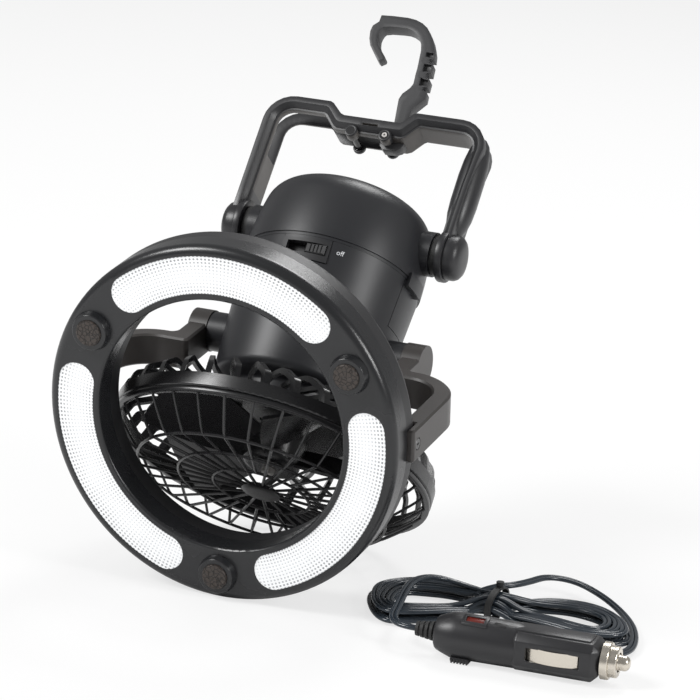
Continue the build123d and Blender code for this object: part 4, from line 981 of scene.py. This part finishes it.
ridge = block("plug_ridge", (7.6, -5.6, 38.0), (9.4, 5.6, 72.0), 0.8)
boss = block("lamp_boss", (8.6, -3.4, 13.6), (11.0, 3.4, 25.6), 0.9)
bpy.ops.object.mode_set(mode="EDIT")
pick(lambda face: face.normal.x > 0.95)
bpy.ops.mesh.inset(thickness=0.9 * MM)
slide(x=-1.0)
bpy.ops.object.mode_set(mode="OBJECT")
lean_forward = Matrix.Rotation(math.radians(LAMP_TURN), 4, "Z")
boss.data.transform(lean_forward)
thumb = block("plug_lip", (-10.0, 3.4, 10.0), (-7.6, 8.2, 19.0), 0.9)
LIP_RIBS, LIP_RIB_STEP = 6, 1.4
ribs = []
for index in range(LIP_RIBS):
    rise = LIP_RIB_STEP * index
    ribs.append(block("plug_lip_rib", (-10.2, 3.8, 10.6 + rise), (-8.2, 8.6, 11.4 + rise), 0.25))
plug = join(grip, nose, ridge, boss, thumb, *ribs)
plug.name = plug.data.name = "plug_grip"
settle(plug, plug_axes, "ring_light", plug_black, 30)
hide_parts("car_plug_body")
lamp_window = block("plug_lamp_window", (9.6, -2.0, 15.4), (10.5, 2.0, 23.8), 0.3)
lamp_window.data.transform(lean_forward)
lamp_slot = block("plug_keyhole", (8.6, -1.5, 28.0), (10.45, 1.5, 34.0), 0.7)
lamp_slot.data.transform(lean_forward)
lamp_red = Finish("lamp_red", (0.3, 0.03, 0.02), 0.25)
lamp_cloud = lamp_red.noise(lamp_red.place(), 500.0)
lamp_red.feed("Base Color", lamp_red.tones(lamp_cloud, (0.05, 0.006, 0.005), (0.2, 0.025, 0.016)))
settle(lamp_window, plug_axes, "ring_light", lamp_red.material, 30)
settle(lamp_slot, plug_axes, "ring_light", knob_black, 30)

# %% The bowed contacts, and a list of the parts on the lead
CONTACT_BOW = ((44.5, 7.6), (46.6, 8.8), (50.0, 9.9), (53.0, 10.5), (56.0, 10.7), (59.0, 10.6), (62.0, 10.2),
               (65.0, 9.5), (67.5, 8.4))
SPRING_THICKNESS, SPRING_SIDES = 0.5, (-3.0, 3.2)


def contact(name, side):
    """A thin spring strip along the plug, bowed out through its window."""
    piece = strip(name, [((z, y), (z, y - SPRING_THICKNESS)) for z, y in CONTACT_BOW])
    thicken(SPRING_SIDES)
    bpy.ops.object.mode_set(mode="OBJECT")
    piece.data.transform(Matrix(((0, 1, 0, 0), (0, 0, side, 0), (1, 0, 0, 0), (0, 0, 0, 1))))
    modify(piece, "SUBSURF", levels=1, render_levels=1, subdivision_type="SIMPLE")
    bpy.ops.object.mode_set(mode="EDIT")
    face_outwards()
    return piece


on_lead = [plug, lamp_window, lamp_slot]
for name, side in (("car_plug_contact_front", 1), ("car_plug_contact_rear", -1)):
    spring = contact(name + "_spring", side)
    settle(spring, plug_axes, "ring_light", nickel, 30)
    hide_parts(name)
    on_lead.append(spring)
on_lead += [nodes[n] for n in ("car_plug_strain_relief", "car_plug_nose_ring", "car_plug_tip", "dc_plug_body",
                               "dc_plug_barrel", "lead_tie")]
on_floor(*TAIL_TO_PLUG[0])

# %% [markdown]
# Small things finish the fan: a piece of wall that closes the gap over the switch, the word off beside it and
# screw heads with a cross recess. The word is a text object made a mesh before it is set on the wall.

# %% Wall over the switch
def wall_sector(name, radii, heights, half_degrees, steps=12):
    """A piece of a round wall: one small face, spun about the tower's axis."""
    inner, outer = radii
    middle = (0, -(inner + outer) / 2 * MM, sum(heights) / 2 * MM)
    bpy.ops.mesh.primitive_plane_add(size=MM, location=middle, rotation=(0, math.pi / 2, 0))
    piece = fresh(name)
    bpy.ops.object.mode_set(mode="EDIT")
    bpy.ops.mesh.select_all(action="SELECT")
    bpy.ops.transform.resize(value=(1, outer - inner, heights[1] - heights[0]), center_override=middle)
    bpy.ops.mesh.spin(steps=steps, angle=math.radians(2 * half_degrees), center=(0, 0, 0), axis=(0, 0, 1))
    done_editing()
    angles = [math.atan2(vertex.co.x, -vertex.co.y) for vertex in piece.data.vertices]
    piece.data.transform(Matrix.Rotation(-(max(angles) + min(angles)) / 2, 4, "Z"))
    return piece


LINTEL_RADII, LINTEL_HEIGHTS, LINTEL_HALF_DEGREES = (40.9, 42.75), (35.9, 37.7), 16.2
lintel = wall_sector("switch_lintel", LINTEL_RADII, LINTEL_HEIGHTS, LINTEL_HALF_DEGREES)
settle(lintel, tower_axes, "tower", housing_black, 30)

# %% Word and screws
def mark(words, height, thickness, place, material, body):
    """Raised words, with sizes in millimetres, set on a part."""
    bpy.ops.object.text_add(location=(0, 0, 0))
    words_piece = bpy.context.active_object
    words_piece.name = "word_" + words
    words_piece.data.body = words
    words_piece.data.size = height * MM
    words_piece.data.extrude = thickness * MM
    words_piece.data.align_x = "CENTER"
    bpy.ops.object.convert(target="MESH")
    made = bpy.context.active_object
    settle(made, place, body, material)


CROSS_PINCH, CROSS_DEPTH = 0.36, 0.6


def cross_screw(name, place, radius, shank, body, material):
    """A screw, its head's top at the origin: the top is inset, pinched into a cross and pushed in."""
    steps = ((-1.7, radius), (-0.5, radius), (0, radius * 0.86))
    if shank:
        steps = ((-shank, radius * 0.5), (-1.7, radius * 0.5)) + steps
    head = turned(name, steps, 16)
    bpy.ops.object.mode_set(mode="EDIT")
    pick(lambda face: face.normal.z > 0.95 and face.calc_center_median().z > -0.1 * MM)
    bpy.ops.mesh.inset(thickness=radius * 0.2 * MM)
    inner = radius * 0.7 * MM
    pick(lambda vertex: vertex.co.z > -0.1 * MM and vertex.co.xy.length < inner
         and round(math.degrees(math.atan2(vertex.co.y, vertex.co.x)) / 22.5) % 4 != 0, "VERT")
    bpy.ops.transform.resize(value=(CROSS_PINCH, CROSS_PINCH, 1), center_override=(0, 0, 0))
    pick(lambda face: face.normal.z > 0.95 and len(face.verts) == 16)
    slide(z=-CROSS_DEPTH)
    face_outwards()
    settle(head, place, body, material, 30)
    return head


word_white = Finish("word_white", (0.75, 0.76, 0.78), 0.5)
word_grain = word_white.noise(word_white.place(), 900.0)
word_white.feed("Base Color", word_white.tones(word_grain, (0.6, 0.61, 0.63), (0.82, 0.83, 0.85)))
WORD_ANGLE, WORD_Z, WALL_R, WORD_HEIGHT, WORD_RISE = math.radians(23), 31.4, 42.6, 3.4, 0.12
YOKE_SCREW_X, YOKE_SCREW_Z, YOKE_SCREW_R, YOKE_SHANK = 88.0, -19.5, 2.9, 10.8
PIN_SCREW_Y, PIN_SCREW_R = -9.5, 1.5
front_of = Matrix.Rotation(math.pi / 2, 4, "X")
word_place = tower_axes @ Matrix.Rotation(WORD_ANGLE, 4, "Z") \
    @ Matrix.Translation((0, -WALL_R * MM, WORD_Z * MM)) @ front_of
mark("off", WORD_HEIGHT, WORD_RISE, word_place, word_white.material, "tower")
pin_place = tower_axes @ Matrix.Translation((PIN_X[0] * MM, PIN_SCREW_Y * MM, PIN_Z * MM)) @ front_of
cross_screw("hook_pin_screw", pin_place, PIN_SCREW_R, 0, "handle", steel)
for name, side in (("right", 1), ("left", -1)):
    screw_axes = dial_axes @ Matrix.Translation((side * YOKE_SCREW_X * MM, 0, YOKE_SCREW_Z * MM)) \
        @ Matrix.Rotation(side * math.pi / 2, 4, "Y")
    screw = cross_screw("yoke_cross_screw_" + name, screw_axes, YOKE_SCREW_R, YOKE_SHANK, "ring_light",
                        dark_steel)
    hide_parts("yoke_screw_" + name)
